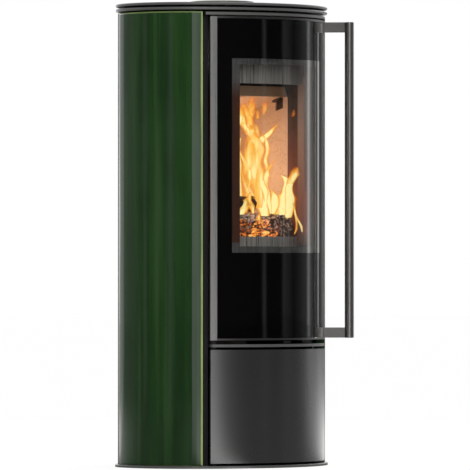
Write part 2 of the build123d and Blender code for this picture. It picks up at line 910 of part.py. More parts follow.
def door_frame():
    side = door_half_angle
    frame = band(frame_face, door_inner, -side, side, door_bottom, door_top)
    shoulder = band(frame_shoulder, frame_face - 1, stile_shoulder_angle, side, door_bottom, door_top)
    frame += both_sides(shoulder)
    inner_skin = frame_face - frame_skin
    low = door_bottom + frame_end_height
    high = door_top - frame_end_height
    hollow = band(inner_skin, door_inner - 1, -frame_side_angle, frame_side_angle, low, high)
    edge = math.degrees(window_flange / frame_face)
    collar_angle = window_half_angle + edge
    collar_inner = frame_face - window_flange_depth
    collar_low = window_bottom - window_flange
    collar_high = window_top + window_flange
    collar = band(frame_face, collar_inner, -collar_angle, collar_angle, collar_low, collar_high)
    frame = frame - hollow + collar
    half = window_half_angle
    frame -= band(frame_shoulder, door_inner - 1, -half, half, window_bottom, window_top)
    frame -= rope_ring(door_inner - 1, door_inner + rope_groove, seat)
    bush = door_pin_radius + running + door_bush_wall + press_slack
    reach = door_pin_length + 2 * seat
    frame -= hinge_column(bush, door_bottom, door_bottom + reach)
    frame -= hinge_column(bush, door_top - reach, door_top)
    for hole in handle_screw(screw_slack) + stile_screw(screw_slack):
        frame -= hole
    return frame


def rope_ring(inner, outer, slack):
    """Closed run of the sealing rope, or of its groove, on the door's inner side."""
    half = math.degrees(rope_width / 2 / door_inner)
    edge = math.degrees(slack / door_inner)
    low = door_bottom + rope_inset - rope_width / 2
    high = door_top - rope_inset + rope_width / 2
    wide = rope_angle + half + edge
    narrow = rope_angle - half - edge
    ring = band(outer, inner, -wide, wide, low - slack, high + slack)
    low_in = low + rope_width + slack
    high_in = high - rope_width - slack
    return ring - band(outer + 1, inner - 1, -narrow, narrow, low_in, high_in)


def door_gasket():
    return rope_ring(frame_outer + seat, door_inner + rope_groove - seat, 0)


def door_glass():
    half = glass_half_angle
    low = door_bottom + rail_height + seat
    high = door_top - rail_height - seat
    return band(glass_face, glass_face - glass_thickness, -half, half, low, high)


def glass_gasket():
    inner = frame_face + seat
    outer = glass_face - glass_thickness - seat
    low = door_bottom + rail_height + seat
    high = door_top - rail_height - seat
    half = glass_half_angle
    narrow = half - math.degrees(gasket_tape_width / frame_face)
    tape = band(outer, inner, -half, half, low, high)
    width = gasket_tape_width
    return tape - band(outer + 1, inner - 1, -narrow, narrow, low + width, high - width)


def door_stiles():
    inner = frame_shoulder + seat
    side = band(front_radius, inner, stile_shoulder_angle, door_half_angle, door_bottom, door_top)
    lip_inner = front_radius - stile_lip
    lip = band(front_radius, lip_inner, stile_inner_angle, stile_shoulder_angle, door_bottom, door_top)
    stiles = both_sides(side + lip)
    for hole in handle_screw(screw_slack) + stile_screw(thread_slack):
        stiles -= hole
    return stiles


def door_rails():
    inner = frame_face + seat
    half = stile_inner_angle - math.degrees(seat / front_radius)
    low = band(front_radius, inner, -half, half, door_bottom, door_bottom + rail_height)
    high = band(front_radius, inner, -half, half, door_top - rail_height, door_top)
    return low + high


def hinge_bushes():
    outer = door_pin_radius + running + door_bush_wall
    inner = door_pin_radius + running
    length = door_pin_length
    low = hinge_column(outer, door_bottom + seat, door_bottom + length)
    low -= hinge_column(inner, door_bottom, door_bottom + length + 1)
    high = hinge_column(outer, door_top - length, door_top - seat)
    high -= hinge_column(inner, door_top - length - 1, door_top)
    return low + high


def hinge_pins():
    """Two pins for the main door and two for the lower door, each with a shoulder."""
    flange = door_pin_flange
    long_tip = door_pin_length - 2 * seat
    low = hinge_column(flange, shelf_top + seat, door_bottom - seat)
    low += hinge_column(door_pin_radius, door_bottom - seat, door_bottom + long_tip)
    high = hinge_column(flange, door_top + seat, band_bottom - seat)
    high += hinge_column(door_pin_radius, door_top - long_tip, door_top + seat)
    flange = lower_pin_flange
    foot = hinge_column(flange, base_thickness + seat, lower_door_bottom - seat)
    foot += hinge_column(lower_pin_radius, lower_door_bottom - seat, lower_door_bottom + lower_pin_length)
    head = hinge_column(flange, lower_door_top + seat, shelf_bottom - seat)
    head += hinge_column(lower_pin_radius, lower_door_top - lower_pin_length, lower_door_top + seat)
    return Compound(children=[p.solid() for p in (low, high, foot, head)])


# ---- handle ----


def bar_place():
    return front_radius + bar_standoff


def handle_bar():
    low = door_bottom + bar_inset + bar_cap
    high = door_top - bar_inset - bar_cap
    tube = disc(bar_radius, low, high) - disc(bar_radius - bar_wall, low - 1, high + 1)
    return front_axis(bar_place(), handle_angle) * tube


def handle_caps():
    low = door_bottom + bar_inset
    high = door_top - bar_inset
    caps = []
    for outer, inner in ((low, low + bar_cap), (high, high - bar_cap)):
        cap = disc(bar_radius, min(outer, inner), max(outer, inner))
        cap = fillet(level_edges(cap, outer), bar_cap_edge)
        plug = bar_radius - bar_wall - seat
        end = inner + math.copysign(2 * bar_cap, inner - outer)
        cap += disc(plug, min(inner, end), max(inner, end))
        caps.append(front_axis(bar_place(), handle_angle) * cap)
    return Compound(children=[c.solid() for c in caps])


def handle_arms():
    inner = front_radius + seat
    length = bar_place() - inner
    arms = []
    for low in arm_levels():
        frame = radial(inner, handle_angle, low + arm_height / 2)
        arm = frame * Pos(0, 0, length / 2) * Box(arm_thickness, arm_height, length)
        arm -= front_axis(bar_place(), handle_angle) * disc(bar_radius + seat, 0, tall)
        for hole in handle_screw(thread_slack):
            arm -= hole
        arms.append(max(arm.solids(), key=lambda s: s.volume))
    return Compound(children=arms)


# ---- roller catches ----


def catch_levels():
    return [door_bottom + catch_inset, door_top - catch_inset]


def edge_angle(gap):
    """Angle of a face that stands off the door's right-hand edge by a gap."""
    return door_half_angle + math.degrees(gap / roller_place)


def roller_angle():
    return edge_angle(seat + catch_plate_thickness + seat + roller_radius)


def catch_plates():
    plates = []
    for level in catch_levels():
        low = level - catch_plate_height / 2
        start = edge_angle(seat)
        end = edge_angle(seat + catch_plate_thickness)
        plates.append(band(catch_plate_outer, door_inner, start, end, low, low + catch_plate_height))
    return Compound(children=[p.solid() for p in plates])


def catch_brackets():
    start = edge_angle(3 * seat + catch_plate_thickness)
    half = roller_height / 2 + seat
    brackets = []
    for level in catch_levels():
        back_inner = frame_outer + seat
        back_outer = back_inner + catch_back
        bottom = level - half - catch_ear
        top = level + half + catch_ear
        shape = band(back_outer, back_inner, start, catch_end_angle, bottom, top)
        shape += band(catch_ear_reach, back_inner, start, catch_end_angle, bottom, bottom + catch_ear)
        shape += band(catch_ear_reach, back_inner, start, catch_end_angle, top - catch_ear, top)
        shape += front_axis(roller_place, roller_angle()) * disc(roller_pin_radius, bottom, top)
        brackets.append(shape)
    return Compound(children=[b.solid() for b in brackets])


def catch_roller(level):
    low = level - roller_height / 2
    high = level + roller_height / 2
    roller = disc(roller_radius, low, high) - disc(roller_pin_radius + running, low - 1, high + 1)
    return front_axis(roller_place, roller_angle()) * roller


# ---- lower door ----


def lower_door_panel():
    side = front_half_angle
    low = lower_door_bottom
    high = lower_door_top
    panel = band(front_radius, front_radius - lower_return, -side, side, low, high)
    narrow = side - math.degrees(lower_sheet / front_radius)
    inner = front_radius - lower_return - 1
    panel -= band(front_radius - lower_sheet, inner, -narrow, narrow, low + lower_sheet, high - lower_sheet)
    return panel - hinge_column(lower_pin_radius + screw_slack, low - 1, high + 1)


def lower_hinge_blocks():
    start = -front_half_angle + math.degrees(lower_sheet / front_radius) + math.degrees(seat / front_radius)
    outer = front_radius - lower_sheet - seat
    inner = front_radius - lower_return
    low = lower_door_bottom + lower_sheet + seat
    high = lower_door_top - lower_sheet - seat
    blocks = []
    for bottom, top in ((low, low + lower_block_height), (high - lower_block_height, high)):
        shape = band(outer, inner, start, start + lower_block_angle, bottom, top)
        shape -= hinge_column(lower_pin_radius + running, bottom - 1, top + 1)
        blocks.append(shape)
    return Compound(children=[b.solid() for b in blocks])


def magnet_plate():
    inner = front_radius - lower_return
    outer = inner + magnet_plate_thickness
    high = lower_door_top - lower_sheet - seat
    return band(outer, inner, magnet_start_angle, magnet_end_angle, high - magnet_height, high)


def magnet_catch():
    outer = front_radius - lower_return - seat
    inner = outer - magnet_depth
    bottom = lower_door_top - lower_sheet - magnet_height
    return band(outer, inner, magnet_start_angle, magnet_end_angle, bottom, shelf_bottom - seat)


# ---- air control ----


def lever_levels():
    low = shelf_top + pivot_head_height + 2 * seat
    return low, low + lever_thickness


def disc_levels():
    high = shell_bottom - disc_lift
    return high - disc_thickness, high


def at_pivot():
    return Pos(0, pivot_place, 0)


def air_lever():
    low, high = lever_levels()
    tip = arc_depth - front_radius + lever_recess
    half = lever_width / 2
    bar = block(-half, half, tip + knob_radius, pivot_place, low, high)
    hub = at_pivot() * disc(lever_hub_radius, low, disc_levels()[0] - seat)
    return bar + hub - at_pivot() * disc(pivot_radius + running, low - 1, high + tall)


def air_knob():
    """Turned grip across the end of the lever."""
    low, high = lever_levels()
    tip = arc_depth - front_radius + lever_recess
    place = tip + knob_radius - seat
    grip = Pos(0, place, (low + high) / 2) * Rot(0, 90, 0) * Cylinder(knob_radius, knob_length)
    return grip - block(-lever_width, lever_width, place + seat, 0, low - tall, high + tall)


def air_disc():
    low, high = disc_levels()
    plate = disc(disc_radius, low, high) - disc(pivot_radius + running, low - 1, high + 1)
    for side_sign in (-1, 1):
        plate -= Pos(side_sign * disc_port_place, 0, 0) * disc(disc_port_radius, low - 1, high + 1)
    return at_pivot() * plate


def air_pivot_pin():
    head = disc(pivot_head_radius, shelf_top + seat, shelf_top + seat + pivot_head_height)
    shank = disc(pivot_radius, shelf_bottom, shell_floor)
    return at_pivot() * (head + shank)


pieces = {
    "base_plate": base_plate(),
    "side_panel_left": mirrored(side_panel()),
    "side_panel_right": side_panel(),
    "rear_panel": rear_panel(),
    "front_posts": front_posts(),
    "rear_cover": rear_cover(),
    "rear_cover_stays": rear_cover_stays(),
    "shelf_plate": shelf_plate(),
    "top_band": top_band(),
    "plate_spacers": plate_spacers(),
    "under_plate": outlet_plate(under_bottom, under_top),
    "top_plate": outlet_plate(top_bottom, top_top),
    "flue_cover": flue_cover(),
    "flue_blank": flue_blank(),
    "rear_flue_spigot": spigot(flue_radius, flue_wall, flue_level),
    "air_inlet_spigot": spigot(inlet_radius, inlet_wall, inlet_level),
    "tile_left": mirrored(tile()),
    "tile_right": tile(),
    "tile_brackets": tile_brackets(),
    "firebox_shell": firebox_shell(),
    "front_frame": front_frame(),
    "hearth_plate": hearth_plate(),
    "hearth_bricks": hearth_bricks(),
    "grate": grate(),
    "log_guard": log_guard(),
    "lining_left": mirrored(side_lining()),
    "lining_right": side_lining(),
    "lining_rear": rear_lining(),
    "lining_retainers": lining_retainers(),
    "baffle_supports": baffle_supports(),
    "baffle_lower": lower_baffle(),
    "baffle_upper": upper_baffle(),
    "air_wash_deflector": air_wash_deflector(),
    "ash_pan": ash_pan(),
    "firewood": firewood(),
    "hinge_pins": hinge_pins(),
    "catch_brackets": catch_brackets(),
    "catch_roller_lower": catch_roller(catch_levels()[0]),
    "catch_roller_upper": catch_roller(catch_levels()[1]),
    "magnet_catch": magnet_catch(),
    "air_pivot_pin": air_pivot_pin(),
    "air_lever": air_lever(),
    "air_knob": air_knob(),
    "air_disc": air_disc(),
    "door_frame": door_frame(),
    "door_stiles": door_stiles(),
    "door_rails": door_rails(),
    "door_glass": door_glass(),
    "glass_gasket": glass_gasket(),
    "door_gasket": door_gasket(),
    "stile_screws": Compound(children=[s.solid() for s in stile_screw(0)]),
    "hinge_bushes": hinge_bushes(),
    "catch_plates": catch_plates(),
    "handle_bar": handle_bar(),
    "handle_caps": handle_caps(),
    "handle_arms": handle_arms(),
    "handle_screws": Compound(children=[s.solid() for s in handle_screw(0)]),
    "lower_door_panel": lower_door_panel(),
    "lower_hinge_blocks": lower_hinge_blocks(),
    "magnet_plate": magnet_plate(),
}

os.makedirs("parts", exist_ok=True)
for name, shape in pieces.items():
    export_step(shape, f"parts/{name}.step")
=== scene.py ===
import bmesh
import bpy
import math
import random
from mathutils import Matrix, Vector, noise


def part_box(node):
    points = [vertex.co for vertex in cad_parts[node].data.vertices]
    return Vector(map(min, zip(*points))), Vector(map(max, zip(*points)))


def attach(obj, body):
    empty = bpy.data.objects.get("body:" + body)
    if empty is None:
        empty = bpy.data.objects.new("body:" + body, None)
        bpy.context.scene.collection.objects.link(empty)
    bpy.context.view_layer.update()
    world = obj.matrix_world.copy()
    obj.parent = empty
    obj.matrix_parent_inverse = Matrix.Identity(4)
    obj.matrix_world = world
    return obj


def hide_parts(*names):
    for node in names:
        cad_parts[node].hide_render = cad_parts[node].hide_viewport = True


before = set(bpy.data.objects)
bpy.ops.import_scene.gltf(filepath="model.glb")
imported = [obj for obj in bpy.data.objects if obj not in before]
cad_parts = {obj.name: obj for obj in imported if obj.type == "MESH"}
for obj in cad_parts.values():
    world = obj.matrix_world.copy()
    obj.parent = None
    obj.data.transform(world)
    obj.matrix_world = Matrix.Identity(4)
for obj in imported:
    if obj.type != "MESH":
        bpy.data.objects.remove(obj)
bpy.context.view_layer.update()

# ---- Studio ----
# The stove stands on a pale floor before a white wall. A long lens looks at it from the front left,
# level with its middle, and soft boxes stand at fixed places round it.


def linear(colour):
    """Linear RGBA of an sRGB hex colour."""
    parts = [int(colour[i:i + 2], 16) / 255 for i in (0, 2, 4)]
    return tuple(c / 12.92 if c <= 0.04045 else ((c + 0.055) / 1.055) ** 2.4 for c in parts) + (1.0,)


def add(tree, kind, sockets=None, stops=(), **settings):
    """Adds a shader node. Sockets are values, links, or nodes whose first output, or mixed colour, is
    linked. Stops are a ramp's places and colours."""
    made = tree.nodes.new("ShaderNode" + kind)
    if kind == "Mix":
        made.data_type = "RGBA"
    for name, value in settings.items():
        setattr(made, name, value)
    for key, value in (sockets or {}).items():
        if isinstance(value, bpy.types.Node):
            value = value.outputs[2 if value.bl_idname == "ShaderNodeMix" else 0]
        if isinstance(value, bpy.types.NodeSocket):
            tree.links.new(value, made.inputs[key])
        else:
            made.inputs[key].default_value = value
    for number, (place, colour) in enumerate(stops):
        if number > 1:
            made.color_ramp.elements.new(place)
        made.color_ramp.elements[number].position = place
        made.color_ramp.elements[number].color = colour if len(colour) == 4 else linear(colour)
    return made


# the axis of the door's curve, and the view's two level directions
front_centre = Vector((0, 0.118794, 0))
to_camera = Vector((-0.72702, -0.68662, 0))
camera_right = Vector((0.68662, -0.72702, 0))
camera_distance, camera_level = 16.08, 0.498
aim_right, aim_level = 0.1201, 0.5861
camera_data = bpy.data.cameras.new("photo_camera")
camera_data.sensor_fit = "HORIZONTAL"
camera_data.sensor_width = 36.0
camera_data.lens = 482.2
camera_data.clip_end = 200.0
camera = bpy.data.objects.new("photo_camera", camera_data)
bpy.context.scene.collection.objects.link(camera)
camera.location = front_centre + to_camera * camera_distance + Vector((0, 0, camera_level))
look_at = front_centre + camera_right * aim_right + Vector((0, 0, aim_level))
camera.rotation_euler = (look_at - camera.location).to_track_quat("-Z", "Y").to_euler()
bpy.context.scene.camera = camera
bpy.context.scene.view_settings.view_transform = "Standard"

world = bpy.data.worlds.new("studio")
bpy.context.scene.world = world
world.use_nodes = True
tree = world.node_tree
tree.nodes.clear()
# Round the horizon stand white cards and dark curtains. Each is a place in degrees, from the stove's
# front by its right, and a grey level in linear light. A narrow band of them at eye level is what
# flat mirrors show, and the wide ones above and below it are what brushed and satin faces blend.


def card(light):
    """Grey level of a card, in linear light."""
    return (light, light, light, 1.0)


def horizon(tree, direction, cards):
    """Grey levels of the cards round the stove, for a direction or a place on the floor."""
    way = add(tree, "SeparateXYZ", {0: direction})
    forward = add(tree, "Math", {0: way.outputs["Y"], 1: -1.0}, operation="MULTIPLY")
    turn = add(tree, "Math", {0: way.outputs["X"], 1: forward}, operation="ARCTAN2")
    share = add(tree, "MapRange", {0: turn, 1: -math.pi, 2: math.pi, 3: 0.0, 4: 1.0})
    stops = [((degrees + 180) / 360, card(light)) for degrees, light in cards]
    return add(tree, "ValToRGB", {0: share}, stops=stops)


eye_cards = [(-180, 0.12), (-140, 0.09), (-130, 0.03), (-124, 0.16), (-117, 0.02), (-86, 0.02), (-79, 0.2),
             (-71, 0.02), (-47, 0.015), (-43, 0.66), (-37, 0.62), (-35, 0.22), (-30, 0.22), (-27, 0.02),
             (18, 0.012), (21, 0.14), (24, 0.012), (39, 0.012), (42, 0.1), (54, 0.02), (63, 0.05), (67, 0.07),
             (73, 0.09), (77, 0.46), (80, 0.16), (88, 0.03), (95, 0.06), (98, 0.44), (101, 0.03), (128, 0.2),
             (148, 2.0), (164, 0.3)]
wide_cards = [(-180, 0.4), (-150, 0.25), (-120, 0.1), (-70, 0.06), (-47, 0.16), (-42, 1.0), (-30, 1.1),
              (-24, 0.12), (-8, 0.085), (30, 0.09), (55, 0.1), (63, 0.14), (70, 0.24), (79, 0.6), (90, 1.1),
              (100, 1.5), (140, 1.5), (180, 0.5)]
# sines of the slopes at which the eye-level cards end and the wide ones begin
eye_end, wide_start = 0.05, 0.12
gaze = add(tree, "TexCoord").outputs["Generated"]
slope = add(tree, "Math", {0: add(tree, "SeparateXYZ", {0: gaze}).outputs["Z"]}, operation="ABSOLUTE")
above = add(tree, "MapRange", {0: slope, 1: eye_end, 2: wide_start}, interpolation_type="SMOOTHSTEP")
reflected = add(tree, "Mix", {"Factor": above, 6: horizon(tree, gaze, eye_cards),
                              7: horizon(tree, gaze, wide_cards)})
# The camera sees plain white, also through the pane. Gloss and glass see the cards, and matt faces
# get an even light.
rays = add(tree, "LightPath")
seen = add(tree, "Background", {"Color": card(1.0), "Strength": 1.0})
mirrored_room = add(tree, "Background", {"Color": reflected, "Strength": 1.6})
soft_room = add(tree, "Background", {"Color": card(1.0), "Strength": 0.75})
straight = add(tree, "Math", {0: rays.outputs["Glossy Depth"], 1: 0.5}, operation="LESS_THAN")
through = add(tree, "Math", {0: rays.outputs["Is Transmission Ray"], 1: straight}, operation="MULTIPLY")
direct = add(tree, "Math", {0: rays.outputs["Is Camera Ray"], 1: through}, operation="MAXIMUM")
sharp = add(tree, "Math", {0: rays.outputs["Is Glossy Ray"], 1: rays.outputs["Is Transmission Ray"]},
            operation="MAXIMUM")
room = add(tree, "MixShader", {0: sharp, 1: soft_room, 2: mirrored_room})
add(tree, "OutputWorld", {"Surface": add(tree, "MixShader", {0: direct, 1: room, 2: seen})})


def add_lamp(name, kind, place, power):
    """A lamp that the object's gloss doesn't mirror."""
    made = bpy.data.objects.new(name, bpy.data.lights.new(name, kind))
    bpy.context.scene.collection.objects.link(made)
    made.data.energy = power
    made.location = place
    made.visible_glossy = False
    return made


soft_box_width, stove_middle = 1.6, Vector((0, 0, 0.6))
for name, place, power in (("key_light", (-2.6, -3.0, 2.6), 40), ("rim_light", (3.2, 1.2, 2.2), 50)):
    lamp = add_lamp(name, "AREA", place, power)
    lamp.data.size = soft_box_width
    lamp.rotation_euler = (stove_middle - lamp.location).to_track_quat("-Z", "Y").to_euler()


def new_finish(name):
    """An empty node material, its tree and the socket that gives a place on the object."""
    made = bpy.data.materials.new(name)
    made.use_nodes = True
    made.node_tree.nodes.clear()
    return made, made.node_tree, add(made.node_tree, "TexCoord").outputs["Object"]


def dress(finish, shader, *nodes):
    """Gives a finish its shader, and puts it on carried-over solids."""
    add(finish.node_tree, "OutputMaterial", {"Surface": shader})
    for node in nodes:
        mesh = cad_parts[node].data
        mesh.materials.clear()
        mesh.materials.append(finish)


# The camera sees a nearly white floor with the stove's shadow. Gloss sees the wide cards in it near
# the stove, and the eye-level ones far off.
floor_half_width, floor_gap, wide_cards_end, eye_cards_start = 40.0, 0.0005, 3.3, 9.0
floor_finish, tree, spot = new_finish("painted_floor")
pale = add(tree, "BsdfDiffuse", {"Color": linear("f4f3f0")})
glow = add(tree, "Emission", {"Color": card(1.0), "Strength": 1.05})
rays = add(tree, "LightPath")
share = add(tree, "Math", {0: rays.outputs["Is Camera Ray"], 1: 0.85}, operation="MULTIPLY")
lit = add(tree, "MixShader", {0: share, 1: pale, 2: glow})
after_gloss = add(tree, "Math", {0: rays.outputs["Glossy Depth"], 1: 0.5}, operation="GREATER_THAN")
mirrored = add(tree, "Math", {0: rays.outputs["Is Transmission Ray"], 1: after_gloss}, operation="MULTIPLY")
mirrored = add(tree, "Math", {0: rays.outputs["Is Glossy Ray"], 1: mirrored}, operation="MAXIMUM")
far = add(tree, "VectorMath", {0: spot}, operation="LENGTH")
far = add(tree, "MapRange", {0: far.outputs["Value"], 1: wide_cards_end, 2: eye_cards_start},
          interpolation_type="SMOOTHSTEP")
reflected = add(tree, "Mix", {"Factor": far, 6: horizon(tree, spot, wide_cards),
                              7: horizon(tree, spot, eye_cards)})
dim = add(tree, "Emission", {"Color": reflected, "Strength": 1.2})
dress(floor_finish, add(tree, "MixShader", {0: mirrored, 1: lit, 2: dim}))
shape = bmesh.new()
bmesh.ops.create_grid(shape, x_segments=1, y_segments=1, size=floor_half_width)
mesh = bpy.data.meshes.new("floor")
shape.to_mesh(mesh)
shape.free()
mesh.materials.append(floor_finish)
floor = bpy.data.objects.new("floor", mesh)
bpy.context.scene.collection.objects.link(floor)
floor.location.z = -floor_gap

# ---- Base, shelf and top plates ----
# Laser-cut oval steel plates with rounded rims, sprayed with a satin metallic grey stove enamel.
# The spray leaves a fine orange peel and a faint sparkle, and the rims catch the light.

enamel, tree, where = new_finish("satin_grey_stove_enamel")
peel = add(tree, "TexNoise", {"Vector": where, "Scale": 500.0, "Detail": 3.0})
cloud = add(tree, "TexNoise", {"Vector": where, "Scale": 9.0, "Detail": 2.0})
flake = add(tree, "TexVoronoi", {"Vector": where, "Scale": 900.0})
colour = add(tree, "Mix", {"Factor": cloud, 6: linear("666665"), 7: linear("747473")})
sparkle = add(tree, "Math", {0: flake, 1: 0.25}, operation="MULTIPLY")
colour = add(tree, "Mix", {"Factor": sparkle, 6: colour, 7: linear("8b8b89")})
rough = add(tree, "MapRange", {0: cloud, 3: 0.36, 4: 0.46})
bump = add(tree, "Bump", {"Height": peel, "Strength": 0.12, "Distance": 0.0004})
body = add(tree, "BsdfPrincipled", {"Base Color": colour, "Metallic": 0.55, "Roughness": rough,
                                    "Normal": bump})
dress(enamel, body, "base_plate", "shelf_plate", "top_band", "under_plate", "top_plate")

# The outlet cover has a lighter coat of the same enamel, without the sparkle.


def two_tone(name, dark, pale, patches, gloss, grain=None, stretch=(1, 1, 1), nodes=()):
    """A finish that wavers between two colours in patches, put on solids. Patches are a noise's scale
    and detail, and a grain is those of a second one and its bump's strength and depth."""
    made, tree, where = new_finish(name)
    drawn = add(tree, "Mapping", {0: where, 3: stretch})
    cloud = add(tree, "TexNoise", {"Vector": drawn, "Scale": patches[0], "Detail": patches[1]})
    colour = add(tree, "Mix", {"Factor": cloud, 6: linear(dark), 7: linear(pale)})
    if grain:
        scale, detail, strength, depth = grain
        fine = add(tree, "TexNoise", {"Vector": where, "Scale": scale, "Detail": detail})
        bump = add(tree, "Bump", {"Height": fine, "Strength": strength, "Distance": depth})
        gloss = {**gloss, "Normal": bump}
    dress(made, add(tree, "BsdfPrincipled", {"Base Color": colour, **gloss}), *nodes)
    return made


two_tone("light_grey_lid_enamel", "6d6c6b", "7a7978", (14.0, 2.0), {"Metallic": 0.55, "Roughness": 0.42},
         grain=(500.0, 3.0, 0.12, 0.0004), nodes=("flue_cover",))

# ---- Carcass ----
# Folded sheet steel and the small welded pieces that hold plates and ceramic panels, sprayed with
# matt black stove paint. The paint is slightly grainy and greys where dust settles in it.

two_tone("matt_black_stove_paint", "211f20", "2e2b2c", (12.0, 4.0),
         {"Roughness": 0.62, "Specular IOR Level": 0.35}, grain=(1400.0, 2.0, 0.25, 0.0003),
         nodes=("side_panel_left", "side_panel_right", "rear_panel", "front_posts", "rear_cover_stays",
                "tile_brackets", "hinge_pins", "air_inlet_spigot", "air_knob"))

# ---- Rear cover ----
# One rolled steel sheet with punched slots, sprayed in the same grey as the plates but matter.
# Its long flat grain follows the rolling direction, up and down.

two_tone("grey_sheet_enamel", "3d3b3d", "484648", (16.0, 2.0), {"Metallic": 0.4, "Roughness": 0.5},
         grain=(600.0, 3.0, 0.15, 0.0004), stretch=(1, 1, 0.15), nodes=("rear_cover",))

# ---- Ceramic side panels ----
# Tall cast ceramic shells under a thick dark green gloss glaze. The glaze runs down as it melts, so
# it is streaked from top to bottom. Along the rounded edges it is painted pale, partly for the glaze
# that thins there and partly as a painted highlight where the edges catch the light, most of all at
# the left panel's front edge.

panel_foot, panel_top = 0.0028, 1.1456
left_front_edge, rear_edge = (-0.2273, -0.1473, 0), (0.2641, 0.1095, 0)
glaze, tree, where = new_finish("dark_green_gloss_glaze")
runs = add(tree, "TexNoise", {"Vector": add(tree, "Mapping", {0: where, 3: (1, 1, 0.05)}),
                              "Scale": 28.0, "Detail": 4.0, "Roughness": 0.6})
long_runs = add(tree, "TexNoise", {"Vector": add(tree, "Mapping", {0: where, 3: (1, 1, 0.02)}),
                                   "Scale": 45.0, "Detail": 1.0})
pools = add(tree, "TexNoise", {"Vector": where, "Scale": 5.0, "Detail": 3.0})
specks = add(tree, "TexNoise", {"Vector": where, "Scale": 700.0, "Detail": 1.0})
green = add(tree, "ValToRGB", {0: runs},
            stops=[(0.3, "142a10"), (0.47, "173015"), (0.6, "1d3a18"), (0.75, "29461d")])
for pattern, start, full, most, tone in ((pools, 0.42, 0.7, 0.55, "233e20"),
                                         (long_runs, 0.56, 0.72, 0.6, "36502f"),
                                         (specks, 0.66, 0.74, 0.3, "0f2410")):
    share = add(tree, "MapRange", {0: pattern, 1: start, 2: full, 3: 0.0, 4: most})
    green = add(tree, "Mix", {"Factor": share, 6: green, 7: linear(tone)})
# how far a point is from the nearest edge of its panel; of the front edges only the left panel's counts, as
# the one that gets the painted highlight
split = add(tree, "SeparateXYZ", {0: where})
side = add(tree, "Math", {0: split.outputs["X"]}, operation="ABSOLUTE")
plan = add(tree, "CombineXYZ", {0: split.outputs["X"], 1: split.outputs["Y"]})
either_side = add(tree, "CombineXYZ", {0: side, 1: split.outputs["Y"]})
front_gap = add(tree, "VectorMath", {0: plan, 1: left_front_edge}, operation="DISTANCE")
rear_gap = add(tree, "VectorMath", {0: either_side, 1: rear_edge}, operation="DISTANCE")
low_gap = add(tree, "Math", {0: split.outputs["Z"], 1: panel_foot}, operation="SUBTRACT")
high_gap = add(tree, "Math", {0: panel_top, 1: split.outputs["Z"]}, operation="SUBTRACT")
upright = add(tree, "Math", {0: front_gap.outputs["Value"], 1: rear_gap.outputs["Value"]},
              operation="MINIMUM")
level = add(tree, "Math", {0: low_gap, 1: high_gap}, operation="MINIMUM")
gap = add(tree, "Math", {0: upright, 1: level}, operation="MINIMUM")
waver = add(tree, "MapRange", {0: pools, 3: -0.002, 4: 0.002})
gap = add(tree, "Math", {0: gap, 1: waver}, operation="ADD")
# painted highlight, with some real thinning of the glaze: the panels' edges are painted pale yellow green
thin_glaze_and_edge_highlight = add(tree, "MapRange", {0: gap, 1: 0.001, 2: 0.006, 3: 0.95, 4: 0.0})
green = add(tree, "Mix", {"Factor": thin_glaze_and_edge_highlight, 6: green, 7: linear("bcd384")})
ripple = add(tree, "TexNoise", {"Vector": add(tree, "Mapping", {0: where, 3: (1, 1, 0.14)}),
                                "Scale": 17.0, "Detail": 1.5})
bump = add(tree, "Bump", {"Height": ripple, "Strength": 0.5, "Distance": 0.0035})
body = add(tree, "BsdfPrincipled", {"Base Color": green, "Roughness": 0.12, "IOR": 1.5, "Coat Weight": 0.5,
                                    "Coat Roughness": 0.04, "Normal": bump})
dress(glaze, body, "tile_left", "tile_right")

# ---- Firebox ----
# Welded 4 mm steel box, front frame and throat plates. The stove paint has been burnt to a brown
# grey, blotched with soot. Its front parts within the mouth's width are painted pale grey, a painted
# highlight where they face the light, and a red-brown band at the height of the flames is painted
# firelight.

mouth_half_width, mouth_front, soft_edge = 0.178, -0.101, 0.002
hearth_level, flame_roots, flame_middle, flame_tips = 0.54, 0.62, 0.68, 0.9
hot_steel, tree, where = new_finish("heat_darkened_steel_with_painted_light")
blotch = add(tree, "TexNoise", {"Vector": where, "Scale": 26.0, "Detail": 6.0, "Roughness": 0.65})
grain = add(tree, "TexNoise", {"Vector": where, "Scale": 900.0, "Detail": 2.0})
colour = add(tree, "ValToRGB", {0: blotch},
             stops=[(0.3, "1b1817"), (0.5, "2c2725"), (0.62, "3b3431"), (0.75, "4a413c")])
split = add(tree, "SeparateXYZ", {0: where})
side = add(tree, "Math", {0: split.outputs["X"]}, operation="ABSOLUTE")
in_mouth = add(tree, "MapRange", {0: side, 1: mouth_half_width - soft_edge, 2: mouth_half_width + soft_edge,
                                  3: 1.0, 4: 0.0})
at_front = add(tree, "MapRange", {0: split.outputs["Y"], 1: mouth_front + soft_edge,
                                  2: mouth_front - soft_edge})
over_hearth = add(tree, "MapRange", {0: split.outputs["Z"], 1: hearth_level, 2: flame_roots})
under_tips = add(tree, "MapRange", {0: split.outputs["Z"], 1: flame_middle, 2: flame_tips, 3: 0.85, 4: 0.0})
# painted highlight: the front parts within the mouth's width, above the hearth, are painted pale grey
painted_lit_front = add(tree, "Math", {0: in_mouth, 1: at_front}, operation="MULTIPLY")
painted_lit_front = add(tree, "Math", {0: painted_lit_front, 1: over_hearth}, operation="MULTIPLY")
colour = add(tree, "Mix", {"Factor": painted_lit_front, 6: colour, 7: linear("8c8681")})
